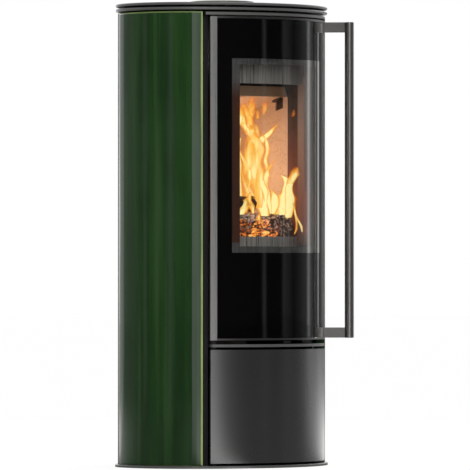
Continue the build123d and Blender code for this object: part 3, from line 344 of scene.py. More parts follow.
# painted firelight: a red-brown band from the hearth up to the flame tips
painted_light_and_shade = add(tree, "Math", {0: under_tips, 1: over_hearth}, operation="MULTIPLY")
colour = add(tree, "Mix", {"Factor": painted_light_and_shade, 6: colour, 7: linear("7a4430")})
bump = add(tree, "Bump", {"Height": grain, "Strength": 0.3, "Distance": 0.0004})
body = add(tree, "BsdfPrincipled", {"Base Color": colour, "Roughness": 0.55, "Specular IOR Level": 0.4,
                                    "Normal": bump})
dress(hot_steel, body, "firebox_shell", "front_frame", "hearth_plate", "lining_retainers", "baffle_supports",
      "baffle_upper", "flue_blank", "rear_flue_spigot")

# ---- Fire linings ----
# Pressed vermiculite board and hearth bricks: a matt buff board with flakes 2 to 4 mm wide, paler
# where the fire burns it clean and brown with soot near the baffle.

soot_start, soot_full, soot_waver = 0.84, 1.02, 0.12
board, tree, where = new_finish("pressed_vermiculite_board")
flakes = add(tree, "TexVoronoi", {"Vector": where, "Scale": 330.0, "Randomness": 1.0})
cloud = add(tree, "TexNoise", {"Vector": where, "Scale": 11.0, "Detail": 4.0})
grit = add(tree, "TexNoise", {"Vector": where, "Scale": 900.0, "Detail": 2.0})
buff = add(tree, "Mix", {"Factor": cloud, 6: linear("b9a68d"), 7: linear("cdbda6")})
fleck = add(tree, "SeparateColor", {0: flakes.outputs["Color"]})
fleck = add(tree, "MapRange", {0: fleck, 1: 0.72, 2: 0.98, 3: 0.0, 4: 0.45})
buff = add(tree, "Mix", {"Factor": fleck, 6: buff, 7: linear("8d7a62")})
waver = add(tree, "MapRange", {0: cloud, 3: -soot_waver, 4: soot_waver})
height = add(tree, "Math", {0: add(tree, "SeparateXYZ", {0: where}).outputs["Z"], 1: waver}, operation="ADD")
soot = add(tree, "MapRange", {0: height, 1: soot_start, 2: soot_full, 3: 0.0, 4: 0.35})
buff = add(tree, "Mix", {"Factor": soot, 6: buff, 7: linear("7d6a58")})
bump = add(tree, "Bump", {"Height": grit, "Strength": 0.5, "Distance": 0.0006})
body = add(tree, "BsdfPrincipled", {"Base Color": buff, "Roughness": 0.95, "Specular IOR Level": 0.2,
                                    "Normal": bump})
dress(board, body, "hearth_bricks", "lining_left", "lining_right", "lining_rear", "baffle_lower")

# ---- Grate ----
# Cast iron, left as it came from the sand: dark, coarse and dusted with ash.

iron, tree, where = new_finish("sand_cast_iron")
sand = add(tree, "TexNoise", {"Vector": where, "Scale": 420.0, "Detail": 4.0})
ash = add(tree, "TexNoise", {"Vector": where, "Scale": 40.0, "Detail": 5.0})
colour = add(tree, "ValToRGB", {0: ash}, stops=[(0.35, "1d1c1b"), (0.6, "37332f"), (0.8, "6e6861")])
bump = add(tree, "Bump", {"Height": sand, "Strength": 0.6, "Distance": 0.0008})
body = add(tree, "BsdfPrincipled", {"Base Color": colour, "Roughness": 0.8, "Normal": bump})
dress(iron, body, "grate")

# ---- Firewood ----
# Four round beech logs, well alight. Their bark is charred and cracked into small blocks, ash lies
# pale on the blocks, and the deep cracks near the embers glow.

glow_full, glow_end = 0.575, 0.64
burnt_wood, tree, where = new_finish("charred_beech_with_ash")
crack = add(tree, "Attribute", attribute_name="crack").outputs["Fac"]
dust = add(tree, "Attribute", attribute_name="dust").outputs["Fac"]
fibre = add(tree, "TexNoise", {"Vector": where, "Scale": 260.0, "Detail": 5.0, "Roughness": 0.65})
patch = add(tree, "TexNoise", {"Vector": where, "Scale": 48.0, "Detail": 4.0, "Roughness": 0.6})
char = add(tree, "Mix", {"Factor": fibre, 6: linear("0d0b0a"), 7: linear("3a302a")})
ash = add(tree, "Mix", {"Factor": fibre, 6: linear("77716c"), 7: linear("d2ccc5")})
lie = add(tree, "Math", {0: patch, 1: dust}, operation="ADD")
sunk = add(tree, "Math", {0: crack, 1: 0.5}, operation="MULTIPLY")
lie = add(tree, "Math", {0: lie, 1: sunk}, operation="SUBTRACT")
lie = add(tree, "MapRange", {0: lie, 1: 0.66, 2: 0.98, 3: 0.0, 4: 0.9})
colour = add(tree, "Mix", {"Factor": lie, 6: char, 7: ash})
height = add(tree, "SeparateXYZ", {0: where}).outputs["Z"]
low_down = add(tree, "MapRange", {0: height, 1: glow_full, 2: glow_end, 3: 1.0, 4: 0.0})
ember = add(tree, "TexNoise", {"Vector": where, "Scale": 34.0, "Detail": 2.0})
ember = add(tree, "MapRange", {0: ember, 1: 0.45, 2: 0.62})
hot = add(tree, "Math", {0: crack, 1: low_down}, operation="MULTIPLY")
hot = add(tree, "Math", {0: hot, 1: ember}, operation="MULTIPLY")
heat = add(tree, "ValToRGB", {0: hot}, stops=[(0.2, "000000"), (0.5, "8a2205"), (0.95, "ff8a30")])
bump = add(tree, "Bump", {"Height": fibre, "Strength": 0.6, "Distance": 0.001})
body = add(tree, "BsdfPrincipled", {"Base Color": colour, "Roughness": 0.85, "Normal": bump,
                                    "Emission Color": heat, "Emission Strength": 1.0})
dress(burnt_wood, body)

log_radius, top_log_radius, log_seat = 0.036, 0.022, 0.0003
brick_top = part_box("hearth_bricks")[1].z
# two plan points, radius, layer, share of ash and how far the far end leans up on the embers
wood_size = [(0.125, -0.095, 0.134, 0.072, log_radius, 0, 0.3, 0.006),
             (0.010, -0.100, -0.020, 0.060, log_radius, 0, 0.6, 0.006),
             (-0.121, -0.092, -0.109, 0.070, log_radius, 0, 0.25, 0.0),
             (-0.135, -0.008, 0.048, -0.062, top_log_radius, 1, 0.1, 0.0)]
log_columns, log_cuts, end_rings = 84, 70, 9


def pour(made, into):
    """Adds one bmesh to another with its attributes, and frees it."""
    passing = bpy.data.meshes.new("passing")
    made.to_mesh(passing)
    made.free()
    into.from_mesh(passing)
    bpy.data.meshes.remove(passing)


def piece_from(shape, name, finish, body, crease=30):
    """Object at the origin from a bmesh, riding on a body, smooth up to an angle between faces."""
    mesh = bpy.data.meshes.new(name)
    shape.to_mesh(mesh)
    shape.free()
    mesh.materials.append(finish)
    mesh.shade_smooth()
    mesh.set_sharp_from_angle(angle=math.radians(crease))
    made = bpy.data.objects.new(name, mesh)
    bpy.context.scene.collection.objects.link(made)
    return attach(made, body)


def burning_log(into, number, first_x, first_y, last_x, last_y, radius, layer, dusty, lean):
    """Adds a log between two plan points to a mesh, cracked all over into charred blocks."""
    made = bmesh.new()
    crack_depth = made.verts.layers.float.new("crack")
    ash_share = made.verts.layers.float.new("dust")
    level = brick_top + log_seat * (1 + layer) + radius + 2 * log_radius * layer
    start, end = Vector((first_x, first_y, level)), Vector((last_x, last_y, level + lean))
    length = (end - start).length
    bmesh.ops.create_cone(made, cap_ends=True, segments=log_columns, radius1=radius, radius2=radius,
                          depth=length)
    long = [e for e in made.edges if abs(e.verts[0].co.z - e.verts[1].co.z) > length / 2]
    bmesh.ops.subdivide_edges(made, edges=long, cuts=log_cuts)
    for _ in range(end_rings):
        ends = [f for f in made.faces if len(f.verts) > 4]
        bmesh.ops.inset_individual(made, faces=ends, thickness=radius / (end_rings + 1.5))
    turned = (end - start).to_track_quat("Z", "X").to_matrix().to_4x4()
    for vert in made.verts:
        away = Vector((vert.co.x, vert.co.y, 0))
        rim = away.length / radius
        spin = math.atan2(away.y, away.x)
        # two sides burnt flatter, broad lumps, and blocks 11 mm round and 16 mm along, cracked apart
        flat = 0.12 * max(0.0, math.cos(spin - number)) ** 2
        next_flat = 0.1 * max(0.0, math.cos(spin - number - 2.2)) ** 3
        lump = noise.noise(Vector((vert.co.x * 14, vert.co.y * 14, vert.co.z * 9 + number * 7)))
        at = Vector((vert.co.x * 92, vert.co.y * 92, vert.co.z * 62 + number * 11))
        at += noise.noise_vector(at * 0.8) * 0.35
        near, next_near = noise.voronoi(at)[0][:2]
        deep = max(0.0, 1 - (next_near - near) / 0.2)
        side = min(1.0, max(0.0, (rim - 0.6) / 0.3))
        fray = noise.noise(Vector((vert.co.x * 60, vert.co.y * 60, number)))
        shrink = 1 - flat - next_flat + 0.09 * lump - 0.085 * deep * side
        vert.co.x, vert.co.y = vert.co.x * shrink, vert.co.y * shrink
        if abs(vert.co.z) > length * 0.49:
            vert.co.z -= math.copysign(0.004 * abs(fray) + 0.0025 * deep, vert.co.z)
        vert[crack_depth] = deep
        vert[ash_share] = dusty + 0.15 * lump
    bmesh.ops.transform(made, matrix=Matrix.Translation((start + end) / 2) @ turned, verts=made.verts)
    lowest = min(v.co.z for v in made.verts)
    bmesh.ops.translate(made, vec=(0, 0, level - radius - lowest), verts=made.verts)
    bmesh.ops.recalc_face_normals(made, faces=made.faces)
    pour(made, into)


# the noise that bends the cracks starts from the clock unless it is seeded
noise.seed_set(7)
shape = bmesh.new()
for number, sizes in enumerate(wood_size):
    burning_log(shape, number, *sizes)
logs = piece_from(shape, "burning_logs", burnt_wood, "root", 70)
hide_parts("firewood")

# ---- Embers ----
# Lumps of glowing charcoal and ash that have fallen from the logs onto the bricks and the grate. The
# first of them lie heaped between the front ends of the logs.

embers, tree, where = new_finish("glowing_charcoal")
crust = add(tree, "TexNoise", {"Vector": where, "Scale": 110.0, "Detail": 4.0, "Roughness": 0.6})
skin = add(tree, "TexNoise", {"Vector": where, "Scale": 420.0, "Detail": 3.0})
colour = add(tree, "ValToRGB", {0: skin}, stops=[(0.35, "15110e"), (0.52, "38312c"), (0.64, "8d857c")])
lit = add(tree, "Attribute", attribute_name="glow").outputs["Fac"]
hot = add(tree, "Math", {0: lit, 1: 0.3, 2: crust}, operation="MULTIPLY_ADD")
heat = add(tree, "ValToRGB", {0: hot},
           stops=[(0.57, "000000"), (0.65, "7c2c04"), (0.73, "e87a18"), (0.86, "ffcc6c")])
bump = add(tree, "Bump", {"Height": skin, "Strength": 0.7, "Distance": 0.001})
body = add(tree, "BsdfPrincipled", {"Base Color": colour, "Roughness": 0.9, "Normal": bump,
                                    "Emission Color": heat, "Emission Strength": 1.3})
dress(embers, body)

lump_count, heaped_count, least_lump, most_lump = 210, 80, 0.004, 0.012
bed_left, bed_right, bed_front, bed_rear, bed_radius = -0.150, 0.150, -0.125, 0.060, 0.272
heap_middles, heap_reach, heap_front, heap_rear = (-0.045, 0.005, 0.02, 0.035, 0.05), 0.022, -0.13, -0.108
heap_height, heap_slope = 0.046, 0.012
draw = random.Random(5)
shape = bmesh.new()
glow_layer = shape.verts.layers.float.new("glow")
for number in range(lump_count):
    size = draw.uniform(least_lump, most_lump)
    seat = brick_top + size * 0.55
    place = Vector((draw.uniform(bed_left, bed_right), draw.uniform(bed_front, bed_rear), seat))
    if number < heaped_count:
        high = draw.uniform(0, 1)
        across = draw.choice(heap_middles) + draw.uniform(-heap_reach, heap_reach) * (1.2 - high)
        along = draw.uniform(heap_front, heap_rear) + heap_slope * high
        place = Vector((across, along, seat + heap_height * high))
    while (place - front_centre).to_2d().length > bed_radius:
        place.x *= 0.93
    lump = bmesh.ops.create_icosphere(shape, subdivisions=2, radius=size)["verts"]
    seed = Vector((number * 3.1, 0, 0))
    glowing = draw.uniform(0, 1)
    for vert in lump:
        vert[glow_layer] = glowing
        vert.co *= 1 + 0.35 * noise.noise(vert.co / size * 1.1 + seed)
        vert.co.z *= 0.6
    bmesh.ops.translate(shape, verts=lump, vec=place)
ember_bed = piece_from(shape, "ember_bed", embers, "root", 70)

# ---- Flames ----
# Tongues of flame that rise from the logs, thin lenses of burning gas. They are pale yellow where
# they are thick and fade through orange to nothing at their rims and tips, and light the linings.

fire, tree, where = new_finish("wood_flame")
fire.cycles.emission_sampling = "NONE"
core = add(tree, "Attribute", attribute_name="core").outputs["Fac"]
rise = add(tree, "Attribute", attribute_name="rise").outputs["Fac"]
drawn = add(tree, "Mapping", {0: where, 3: (1, 1, 0.3)})
curl = add(tree, "TexNoise", {"Vector": drawn, "Scale": 25.0, "Detail": 2.0, "Roughness": 0.5,
                              "Distortion": 1.6})
lick = add(tree, "TexNoise", {"Vector": drawn, "Scale": 120.0, "Detail": 2.0, "Distortion": 1.0})
tip = add(tree, "Math", {0: rise, 1: 2.0}, operation="POWER")
# how much gas burns at a point: most in a tongue's core, less at its tip, torn by the curls and licks
much = add(tree, "Math", {0: core, 1: 1.5, 2: -0.15}, operation="MULTIPLY_ADD")
for pattern, weight in ((curl, 2.4), (lick, 0.3), (tip, -0.55)):
    much = add(tree, "Math", {0: pattern, 1: weight, 2: much}, operation="MULTIPLY_ADD")
much = add(tree, "Math", {0: much, 1: 1.46}, operation="SUBTRACT")
thick = add(tree, "MapRange", {0: much, 1: -0.05, 2: 1.05, 3: 0.0, 4: 0.88}, interpolation_type="SMOOTHSTEP")
hue = add(tree, "ValToRGB", {0: much},
          stops=[(0.0, "d2500c"), (0.35, "f58620"), (0.7, "ffbe4c"), (1.15, "fff0a4")])
shine = add(tree, "Emission", {"Color": hue, "Strength": 1.35})
clear = add(tree, "BsdfTransparent")
dress(fire, add(tree, "MixShader", {0: thick, 1: clear, 2: shine}))

tongue_columns, rows_a_point = 28, 8


def flame(into, line, turn, dense, breadth=1.35, thinness=0.25):
    """Adds a tongue to a mesh. Each point of its line has places across and along the view, a height
    and a half width, in mm."""
    made = bmesh.new()
    core_layer = made.verts.layers.float.new("core")
    rise_layer = made.verts.layers.float.new("rise")
    bmesh.ops.create_cone(made, cap_ends=True, segments=tongue_columns, radius1=1, radius2=1, depth=1)
    long = [e for e in made.edges if abs(e.verts[0].co.z - e.verts[1].co.z) > 0.5]
    bmesh.ops.subdivide_edges(made, edges=long, cuts=rows_a_point * (len(line) - 1) - 1)
    wide = Matrix.Rotation(turn, 3, "Z") @ camera_right
    slim = wide.cross(Vector((0, 0, 1)))
    deeper = -to_camera
    points = [front_centre + camera_right * a / 1000 + deeper * d / 1000 + Vector((0, 0, h / 1000))
              for a, d, h, _ in line]
    for vert in made.verts:
        along = (vert.co.z + 0.5) * (len(line) - 1)
        part = min(int(along), len(line) - 2)
        share = along - part
        # a smooth curve through the points
        before, here = points[max(part - 1, 0)], points[part]
        ahead, after = points[part + 1], points[min(part + 2, len(line) - 1)]
        place = here + (ahead - before) * share / 2
        place += (before * 2 - here * 5 + ahead * 4 - after) * share ** 2 / 2
        place += (here * 3 - before - ahead * 3 + after) * share ** 3 / 2
        ease = share * share * (3 - 2 * share)
        width = (line[part][3] * (1 - ease) + line[part + 1][3] * ease) * breadth / 1000
        vert[core_layer] = (1 - vert.co.x ** 2) * dense
        vert[rise_layer] = vert.co.z + 0.5
        vert.co = place + wide * vert.co.x * width + slim * vert.co.y * width * thinness
    bmesh.ops.recalc_face_normals(made, faces=made.faces)
    if made.calc_volume(signed=True) < 0:
        bmesh.ops.reverse_faces(made, faces=made.faces)
    pour(made, into)


shape = bmesh.new()
# tongues that the glass shows from the front left, each from its root to its tip, with its turn and
# how dense it is
seen_tongues = [
    ([(128, -100, 662, 5), (129, -99, 690, 9), (127, -97, 734, 9), (130, -95, 760, 8), (127, -94, 785, 8),
      (128, -92, 810, 6), (134, -90, 832, 2)], 0.1, 1.1),
    ([(151, -112, 700, 2), (157, -110, 723, 5), (155, -108, 745, 6), (146, -106, 766, 6),
      (135, -104, 788, 5), (128, -102, 810, 2)], -0.2, 1.0),
    ([(197, -104, 670, 3), (195, -103, 697, 7), (186, -101, 723, 8), (182, -99, 748, 9), (178, -97, 774, 9),
      (184, -95, 799, 10), (173, -92, 824, 15), (156, -90, 843, 12), (144, -89, 861, 9), (135, -88, 880, 8),
      (131, -87, 902, 2)], 0.1, 1.0),
    ([(172, -84, 808, 8), (182, -84, 824, 14), (194, -83, 834, 13), (207, -82, 845, 10), (218, -81, 857, 7),
      (230, -80, 870, 2)], 0.0, 0.95),
    ([(210, -88, 640, 2), (206, -88, 665, 5), (202, -88, 687, 8), (196, -88, 712, 9), (198, -88, 734, 9),
      (202, -88, 752, 8), (197, -88, 774, 8), (202, -88, 799, 7), (200, -88, 821, 6),
      (189, -88, 842, 2)], -0.1, 1.05),
    ([(196, -90, 735, 4), (204, -90, 752, 6), (211, -90, 765, 5), (220, -90, 776, 1)], 0.1, 0.9),
    ([(150, -86, 850, 6), (154, -85, 874, 10), (160, -84, 898, 11), (166, -83, 915, 8),
      (170, -82, 930, 2)], 0.3, 0.7),
    ([(138, -88, 862, 10), (142, -87, 888, 22), (150, -86, 910, 27), (162, -85, 928, 22),
      (174, -84, 940, 8)], 0.1, 0.6),
    ([(131, -92, 868, 5), (131, -91, 888, 8), (135, -90, 905, 9), (144, -90, 920, 3)], -0.2, 0.75),
    ([(172, -76, 880, 6), (184, -75, 900, 13), (196, -74, 920, 14), (205, -73, 935, 5)], 0.2, 0.4),
    ([(166, -98, 655, 20), (166, -97, 700, 33), (164, -96, 750, 37), (166, -94, 800, 33),
      (166, -92, 840, 25), (158, -90, 880, 12), (152, -89, 905, 3)], 0.15, 0.72),
    ([(238, -40, 626, 16), (242, -40, 650, 27), (246, -40, 676, 24), (252, -40, 698, 13), (254, -40, 716, 9),
      (249, -40, 729, 8), (238, -40, 738, 2)], 0.0, 1.1),
    ([(254, -46, 630, 10), (259, -46, 670, 12), (257, -46, 702, 8), (262, -46, 720, 7), (271, -46, 732, 6),
      (284, -46, 742, 1)], 0.2, 1.1),
    ([(196, -66, 634, 12), (194, -68, 660, 19), (190, -70, 690, 17), (186, -72, 720, 12),
      (180, -74, 748, 2)], 0.1, 0.95),
    ([(258, -58, 716, 7), (266, -58, 733, 10), (274, -58, 746, 8), (278, -58, 760, 2)], 0.1, 0.6),
    ([(257, -62, 882, 4), (264, -62, 893, 10), (268, -62, 903, 7), (271, -62, 911, 1)], 0.1, 0.26),
    ([(262, -58, 733, 5), (270, -58, 747, 10), (273, -58, 758, 6), (277, -58, 768, 1)], 0.1, 0.34),
    ([(214, -76, 640, 8), (216, -76, 662, 14), (219, -76, 680, 12), (212, -76, 700, 4)], 0.1, 0.95),
    ([(132, -126, 632, 6), (140, -124, 650, 13), (148, -122, 669, 14), (155, -120, 684, 7),
      (157, -119, 694, 2)], 0.0, 0.8),
    ([(164, -118, 640, 4), (162, -117, 660, 7), (157, -116, 674, 5), (151, -115, 686, 1)], 0.2, 1.0),
    ([(158, -140, 586, 7), (168, -139, 604, 12), (176, -138, 624, 9), (182, -137, 642, 2)], 0.1, 0.85),
    ([(195, -124, 588, 6), (193, -123, 604, 8), (199, -122, 622, 2)], -0.2, 0.9),
    ([(290, -62, 594, 1.5), (287, -62, 609, 3), (278, -64, 626, 3), (272, -66, 644, 3),
      (270, -67, 660, 2)], 0.0, 0.9),
    ([(270, -78, 588, 1.5), (275, -76, 602, 3.5), (275, -75, 626, 3), (270, -73, 650, 3),
      (267, -72, 668, 2)], 0.2, 0.9)]
for line, turn, dense in seen_tongues:
    flame(shape, line, turn, dense)
# the rest of the fire, nearer the hinges, which only other views show
hidden_tongues, root_level, foot_level = 16, 618, 632
draw = random.Random(11)
for number in range(hidden_tongues):
    across, along = draw.uniform(10, 98), draw.uniform(-205, -30)
    tall = draw.uniform(120, 270) * (1 - abs(across - 75) / 160)
    lean = [draw.uniform(-14, 14) for _ in range(8)]
    broad = draw.uniform(11, 17)
    line = [(across, along, root_level, broad * 0.8),
            (across + lean[0], along + lean[1], foot_level + tall * 0.3, broad),
            (across + lean[2], along + lean[3], foot_level + tall * 0.6, broad * 0.9),
            (across + lean[4], along + lean[5], foot_level + tall * 0.85, broad * 0.5),
            (across + lean[6], along + lean[7], foot_level + tall, 2)]
    flame(shape, line, draw.uniform(-1.5, 1.5), 0.9, 1.1, 0.45)
flames = piece_from(shape, "flames", fire, "root", 180)

for name, place, power, spread in (("fire_glow_low", (0.03, -0.04, 0.70), 1.5, 0.05),
                                   ("fire_glow_high", (0.03, -0.03, 0.84), 0.6, 0.05),
                                   ("ember_glow", (0.05, -0.145, 0.64), 0.3, 0.02)):
    lamp = add_lamp(name, "POINT", place, power)
    lamp.data.color = linear("ffc0a8")[:3]
    lamp.data.shadow_soft_size = spread
    lamp.visible_camera = lamp.visible_transmission = False

# ---- Brushed stainless trim ----
# Door stiles and rails, the log guard and the deflector over the glass: stainless strip brushed
# along its length, which draws the highlights out across the brushing.


def brushed(name, way, dark, pale, tells, roughness, relief, metal, *nodes):
    """A brushed finish on solids. The way is how fine the brushing is along each axis, tells is the
    span of it that changes the colour, and roughness its least and most."""
    made, tree, where = new_finish(name)
    drawn = add(tree, "Mapping", {0: where, 3: way})
    hairs = add(tree, "TexNoise", {"Vector": drawn, "Scale": 1.0, "Detail": 3.0, "Roughness": 0.7})
    streak = add(tree, "MapRange", {0: hairs, 1: tells[0], 2: tells[1]})
    colour = add(tree, "Mix", {"Factor": streak, 6: linear(dark), 7: linear(pale)})
    rough = add(tree, "MapRange", {0: hairs, 1: 0.3, 2: 0.7, 3: roughness[0], 4: roughness[1]})
    bump = add(tree, "Bump", {"Height": hairs, "Strength": relief, "Distance": 0.0002})
    dress(made, add(tree, "BsdfPrincipled", {"Base Color": colour, "Metallic": metal, "Roughness": rough,
                                             "Normal": bump}), *nodes)


for name, way, dark, pale, metal, nodes in (
        ("upright_brushed_stainless", (1400, 1400, 6), "a3a2a0", "b4b3b1", 1.0, ("door_stiles",)),
        ("level_brushed_stainless", (9, 9, 1400), "7d7c7b", "8b8a89", 1.0, ("door_rails",)),
        ("heat_toned_brushed_stainless", (420, 420, 5), "6a6864", "e4e2de", 0.6,
         ("log_guard", "air_wash_deflector"))):
    brushed(name, way, dark, pale, (0.3, 0.7), (0.24, 0.4), 0.12, metal, *nodes)

# ---- Door frame ----
# Cut and rolled steel frame behind the glass, in smooth stove enamel that shows grey through the
# clear part of the pane and black behind its printed border. Its hinge side is painted a dark red
# brown between sill and head, a painted shade where that side lies deeper in shadow.

sill_level, shade_foot, shade_head, frame_head = 0.562, 0.568, 0.93, 0.975
shade_full, shade_end = 0.02, 0.08
frame_enamel, tree, where = new_finish("door_frame_enamel")
grain = add(tree, "TexNoise", {"Vector": where, "Scale": 800.0, "Detail": 2.0})
cloud = add(tree, "TexNoise", {"Vector": add(tree, "Mapping", {0: where, 3: (1, 1, 0.03)}),
                               "Scale": 240.0, "Detail": 3.0})
streak = add(tree, "MapRange", {0: cloud, 1: 0.35, 2: 0.65})
colour = add(tree, "Mix", {"Factor": streak, 6: linear("565554"), 7: linear("706f6e")})
split = add(tree, "SeparateXYZ", {0: where})
over_sill = add(tree, "MapRange", {0: split.outputs["Z"], 1: sill_level, 2: shade_foot})
under_head = add(tree, "MapRange", {0: split.outputs["Z"], 1: frame_head, 2: shade_head})
hinge_side = add(tree, "MapRange", {0: split.outputs["X"], 1: shade_full, 2: shade_end, 3: 1.0, 4: 0.0})
# painted shade: the hinge side is painted dark red brown between sill and head
painted_light_and_shade = add(tree, "Math", {0: over_sill, 1: under_head}, operation="MULTIPLY")
painted_light_and_shade = add(tree, "Math", {0: painted_light_and_shade, 1: hinge_side}, operation="MULTIPLY")
colour = add(tree, "Mix", {"Factor": painted_light_and_shade, 6: colour, 7: linear("5a3323")})
bump = add(tree, "Bump", {"Height": grain, "Strength": 0.2, "Distance": 0.0003})
body = add(tree, "BsdfPrincipled", {"Base Color": colour, "Metallic": 0.5, "Roughness": 0.42, "Normal": bump})
dress(frame_enamel, body, "door_frame")

# ---- Door glass ----
# Curved 4 mm glass ceramic, clear with a faint grey tint. Lamps shine through it into the firebox.
# Its clear window has a thin heat-reflecting coat, which mirrors the room more than the bare glass.

glass_low, glass_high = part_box("door_glass")
pane_half_angle, pane_radius, pane_thickness = math.radians(35.3), 0.3483, 0.004
pane_columns, pane_edge = 120, 0.0005
clear_angle, clear_half_width, clear_low, clear_high = math.radians(28), 0.1635, 0.540, 1.027
pane, tree, where = new_finish("curved_glass_ceramic")
waves = add(tree, "TexNoise", {"Vector": add(tree, "Mapping", {0: where, 3: (1, 1, 0.08)}),
                               "Scale": 30.0, "Detail": 1.0})
bump = add(tree, "Bump", {"Height": waves, "Strength": 0.12, "Distance": 0.0005})
body = add(tree, "BsdfPrincipled", {"Base Color": linear("f2f3f2"), "Roughness": 0.0, "IOR": 1.5,
                                    "Transmission Weight": 1.0, "Normal": bump})
split = add(tree, "SeparateXYZ", {0: where})
side = add(tree, "Math", {0: split.outputs["X"]}, operation="ABSOLUTE")
inside = add(tree, "Math", {0: side, 1: clear_half_width}, operation="LESS_THAN")
over_low = add(tree, "Math", {0: split.outputs["Z"], 1: clear_low}, operation="GREATER_THAN")
under_high = add(tree, "Math", {0: split.outputs["Z"], 1: clear_high}, operation="LESS_THAN")
facing = add(tree, "LayerWeight", {"Blend": 0.5}).outputs["Facing"]
coat_share = add(tree, "MapRange", {0: facing, 1: 0.3, 2: 0.8, 3: 0.04, 4: 0.75})
for limit in (inside, over_low, under_high):
    coat_share = add(tree, "Math", {0: coat_share, 1: limit}, operation="MULTIPLY")
coat = add(tree, "BsdfAnisotropic", {"Color": linear("f6f5f2"), "Roughness": 0.02})
coated = add(tree, "MixShader", {0: coat_share, 1: body, 2: coat})
open_way = add(tree, "BsdfTransparent", {"Color": linear("ededec")})
rays = add(tree, "LightPath")
dress(pane, add(tree, "MixShader", {0: rays.outputs["Is Shadow Ray"], 1: coated, 2: open_way}))


def bent_sheet(half_angle, levels):
    """Flat grid whose X is an angle round the door's centre line, with rows at given levels."""
    made = bmesh.new()
    bmesh.ops.create_grid(made, x_segments=pane_columns, y_segments=len(levels) - 1, size=0.5)
    for vert in made.verts:
        vert.co.z = levels[round((vert.co.y + 0.5) * (len(levels) - 1))]
        vert.co.x *= 2 * half_angle
        vert.co.y = 0.0
    return made


def wrap(shape, radius):
    """Rolls such a grid round the door's centre line."""
    for vert in shape.verts:
        angle = vert.co.x
        vert.co.x, vert.co.y = radius * math.sin(angle), front_centre.y - radius * math.cos(angle)
    bmesh.ops.recalc_face_normals(shape, faces=shape.faces)


shape = bent_sheet(pane_half_angle, [glass_low.z, glass_high.z])
wrap(shape, pane_radius)
if shape.faces[0].normal.y > 0:
    bmesh.ops.reverse_faces(shape, faces=shape.faces)
bmesh.ops.solidify(shape, geom=shape.faces[:], thickness=pane_thickness)
bmesh.ops.recalc_face_normals(shape, faces=shape.faces)
rim = [e for e in shape.edges if e.calc_face_angle(0) > 1]
bmesh.ops.bevel(shape, geom=rim, offset=pane_edge, offset_type="OFFSET", segments=2, profile=0.5,
                affect="EDGES", material=-1)
glass = piece_from(shape, "curved_glass_pane", pane, "door", 10)
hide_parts("door_glass")

# The printed border is a black enamel, screened on the back of the pane and fired. It covers the
# steel frame and leaves a clear window with square corners.

print_finish = two_tone("fired_black_border", "020202", "060606", (1200.0, 1.0),
                        {"Roughness": 0.5, "Specular IOR Level": 0.0})
border_radius, border_thickness, border_inset, border_inset_angle = 0.34428, 0.0001, 0.0005, math.radians(0.1)
shape = bent_sheet(pane_half_angle - border_inset_angle, [glass_low.z + border_inset, clear_low, clear_high,
                                                          glass_high.z - border_inset])
near = min((abs(v.co.x) for v in shape.verts), key=lambda x: abs(x - clear_angle))
for vert in shape.verts:
    if abs(abs(vert.co.x) - near) < 1e-6:
        vert.co.x = math.copysign(clear_angle, vert.co.x)
window = [f for f in shape.faces if abs(f.calc_center_median().x) < clear_angle
          and clear_low < f.calc_center_median().z < clear_high]
bmesh.ops.delete(shape, geom=window, context="FACES")
wrap(shape, border_radius)
bmesh.ops.solidify(shape, geom=shape.faces[:], thickness=border_thickness)
bmesh.ops.recalc_face_normals(shape, faces=shape.faces)
border = piece_from(shape, "glass_printed_border", print_finish, "door")

# ---- Seals ----
# Woven glass-fibre rope in the door frame's groove and a flat tape of the same yarn under the glass,
# grey with handling and soot.

yarn, tree, where = new_finish("woven_glass_fibre")
weave = add(tree, "TexWave", {"Vector": add(tree, "Mapping", {0: where, 2: (0, 0, 0.7)}), "Scale": 260.0,
                              "Distortion": 1.5}, wave_type="BANDS", bands_direction="DIAGONAL")
weave = weave.outputs["Fac"]
fuzz = add(tree, "TexNoise", {"Vector": where, "Scale": 900.0, "Detail": 3.0})
colour = add(tree, "Mix", {"Factor": weave, 6: linear("2f2d2b"), 7: linear("57534f")})
height = add(tree, "Math", {0: weave, 1: fuzz}, operation="ADD")
bump = add(tree, "Bump", {"Height": height, "Strength": 0.7, "Distance": 0.0008})
body = add(tree, "BsdfPrincipled", {"Base Color": colour, "Roughness": 0.95, "Sheen Weight": 0.2,
                                    "Normal": bump})
dress(yarn, body, "glass_gasket", "door_gasket")

# ---- Handle ----
# Stainless tube, caps and two cut flat arms, all satin ground. The tube's grinding runs round it.

brushed("satin_ground_stainless", (30, 30, 1600), "a8a6a4", "bebcb9", (0.0, 1.0), (0.28, 0.42), 0.1, 1.0,
        "handle_bar", "handle_caps", "handle_arms")

# ---- Fixings, hinges and catches ----
# Zinc-plated screws, pins, rollers, brackets, lever and ash pan. The plating is bluish and mottled,
# with fine scratches from handling. The hinge bushes are sintered bronze with open pores, and the
# magnet's housing is grained black nylon.

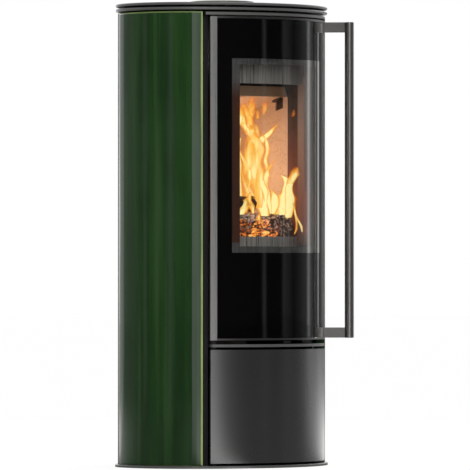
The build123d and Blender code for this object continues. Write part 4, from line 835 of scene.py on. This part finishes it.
zinc, tree, where = new_finish("zinc_plated_steel")
mottle = add(tree, "TexNoise", {"Vector": where, "Scale": 90.0, "Detail": 4.0})
scratch = add(tree, "TexNoise", {"Vector": add(tree, "Mapping", {0: where, 3: (60, 900, 60)}),
                                 "Scale": 1.0, "Detail": 2.0})
colour = add(tree, "Mix", {"Factor": mottle, 6: linear("7c8086"), 7: linear("a2a6aa")})
rough = add(tree, "MapRange", {0: scratch, 1: 0.3, 2: 0.7, 3: 0.3, 4: 0.5})
body = add(tree, "BsdfPrincipled", {"Base Color": colour, "Metallic": 1.0, "Roughness": rough})
dress(zinc, body, "plate_spacers", "catch_brackets", "catch_roller_lower", "catch_roller_upper",
      "air_pivot_pin", "air_lever", "air_disc", "stile_screws", "handle_screws", "catch_plates",
      "lower_hinge_blocks", "magnet_plate", "ash_pan")

two_tone("sintered_bronze", "6d4f2c", "9a7442", (1500.0, 2.0), {"Metallic": 1.0, "Roughness": 0.45},
         nodes=("hinge_bushes",))
two_tone("black_moulded_nylon", "101011", "1b1b1d", (1300.0, 2.0), {"Roughness": 0.5},
         grain=(1300.0, 2.0, 0.3, 0.0003), nodes=("magnet_catch",))

# ---- Lower door ----
# Rolled sheet steel with folded edges, in a satin metallic grey enamel that shades strongly as it
# turns away from the light.

door_enamel, tree, where = new_finish("satin_metallic_door_enamel")
peel = add(tree, "TexNoise", {"Vector": where, "Scale": 450.0, "Detail": 3.0})
flake = add(tree, "TexVoronoi", {"Vector": where, "Scale": 1100.0})
cloud = add(tree, "TexNoise", {"Vector": where, "Scale": 8.0, "Detail": 2.0})
sparkle = add(tree, "Math", {0: flake, 1: 0.4}, operation="MULTIPLY")
colour = add(tree, "Mix", {"Factor": sparkle, 6: linear("868685"), 7: linear("acacaa")})
rough = add(tree, "MapRange", {0: cloud, 3: 0.25, 4: 0.3})
bump = add(tree, "Bump", {"Height": peel, "Strength": 0.03, "Distance": 0.0002})
body = add(tree, "BsdfPrincipled", {"Base Color": colour, "Metallic": 1.0, "Roughness": rough,
                                    "Normal": bump})
dress(door_enamel, body, "lower_door_panel")
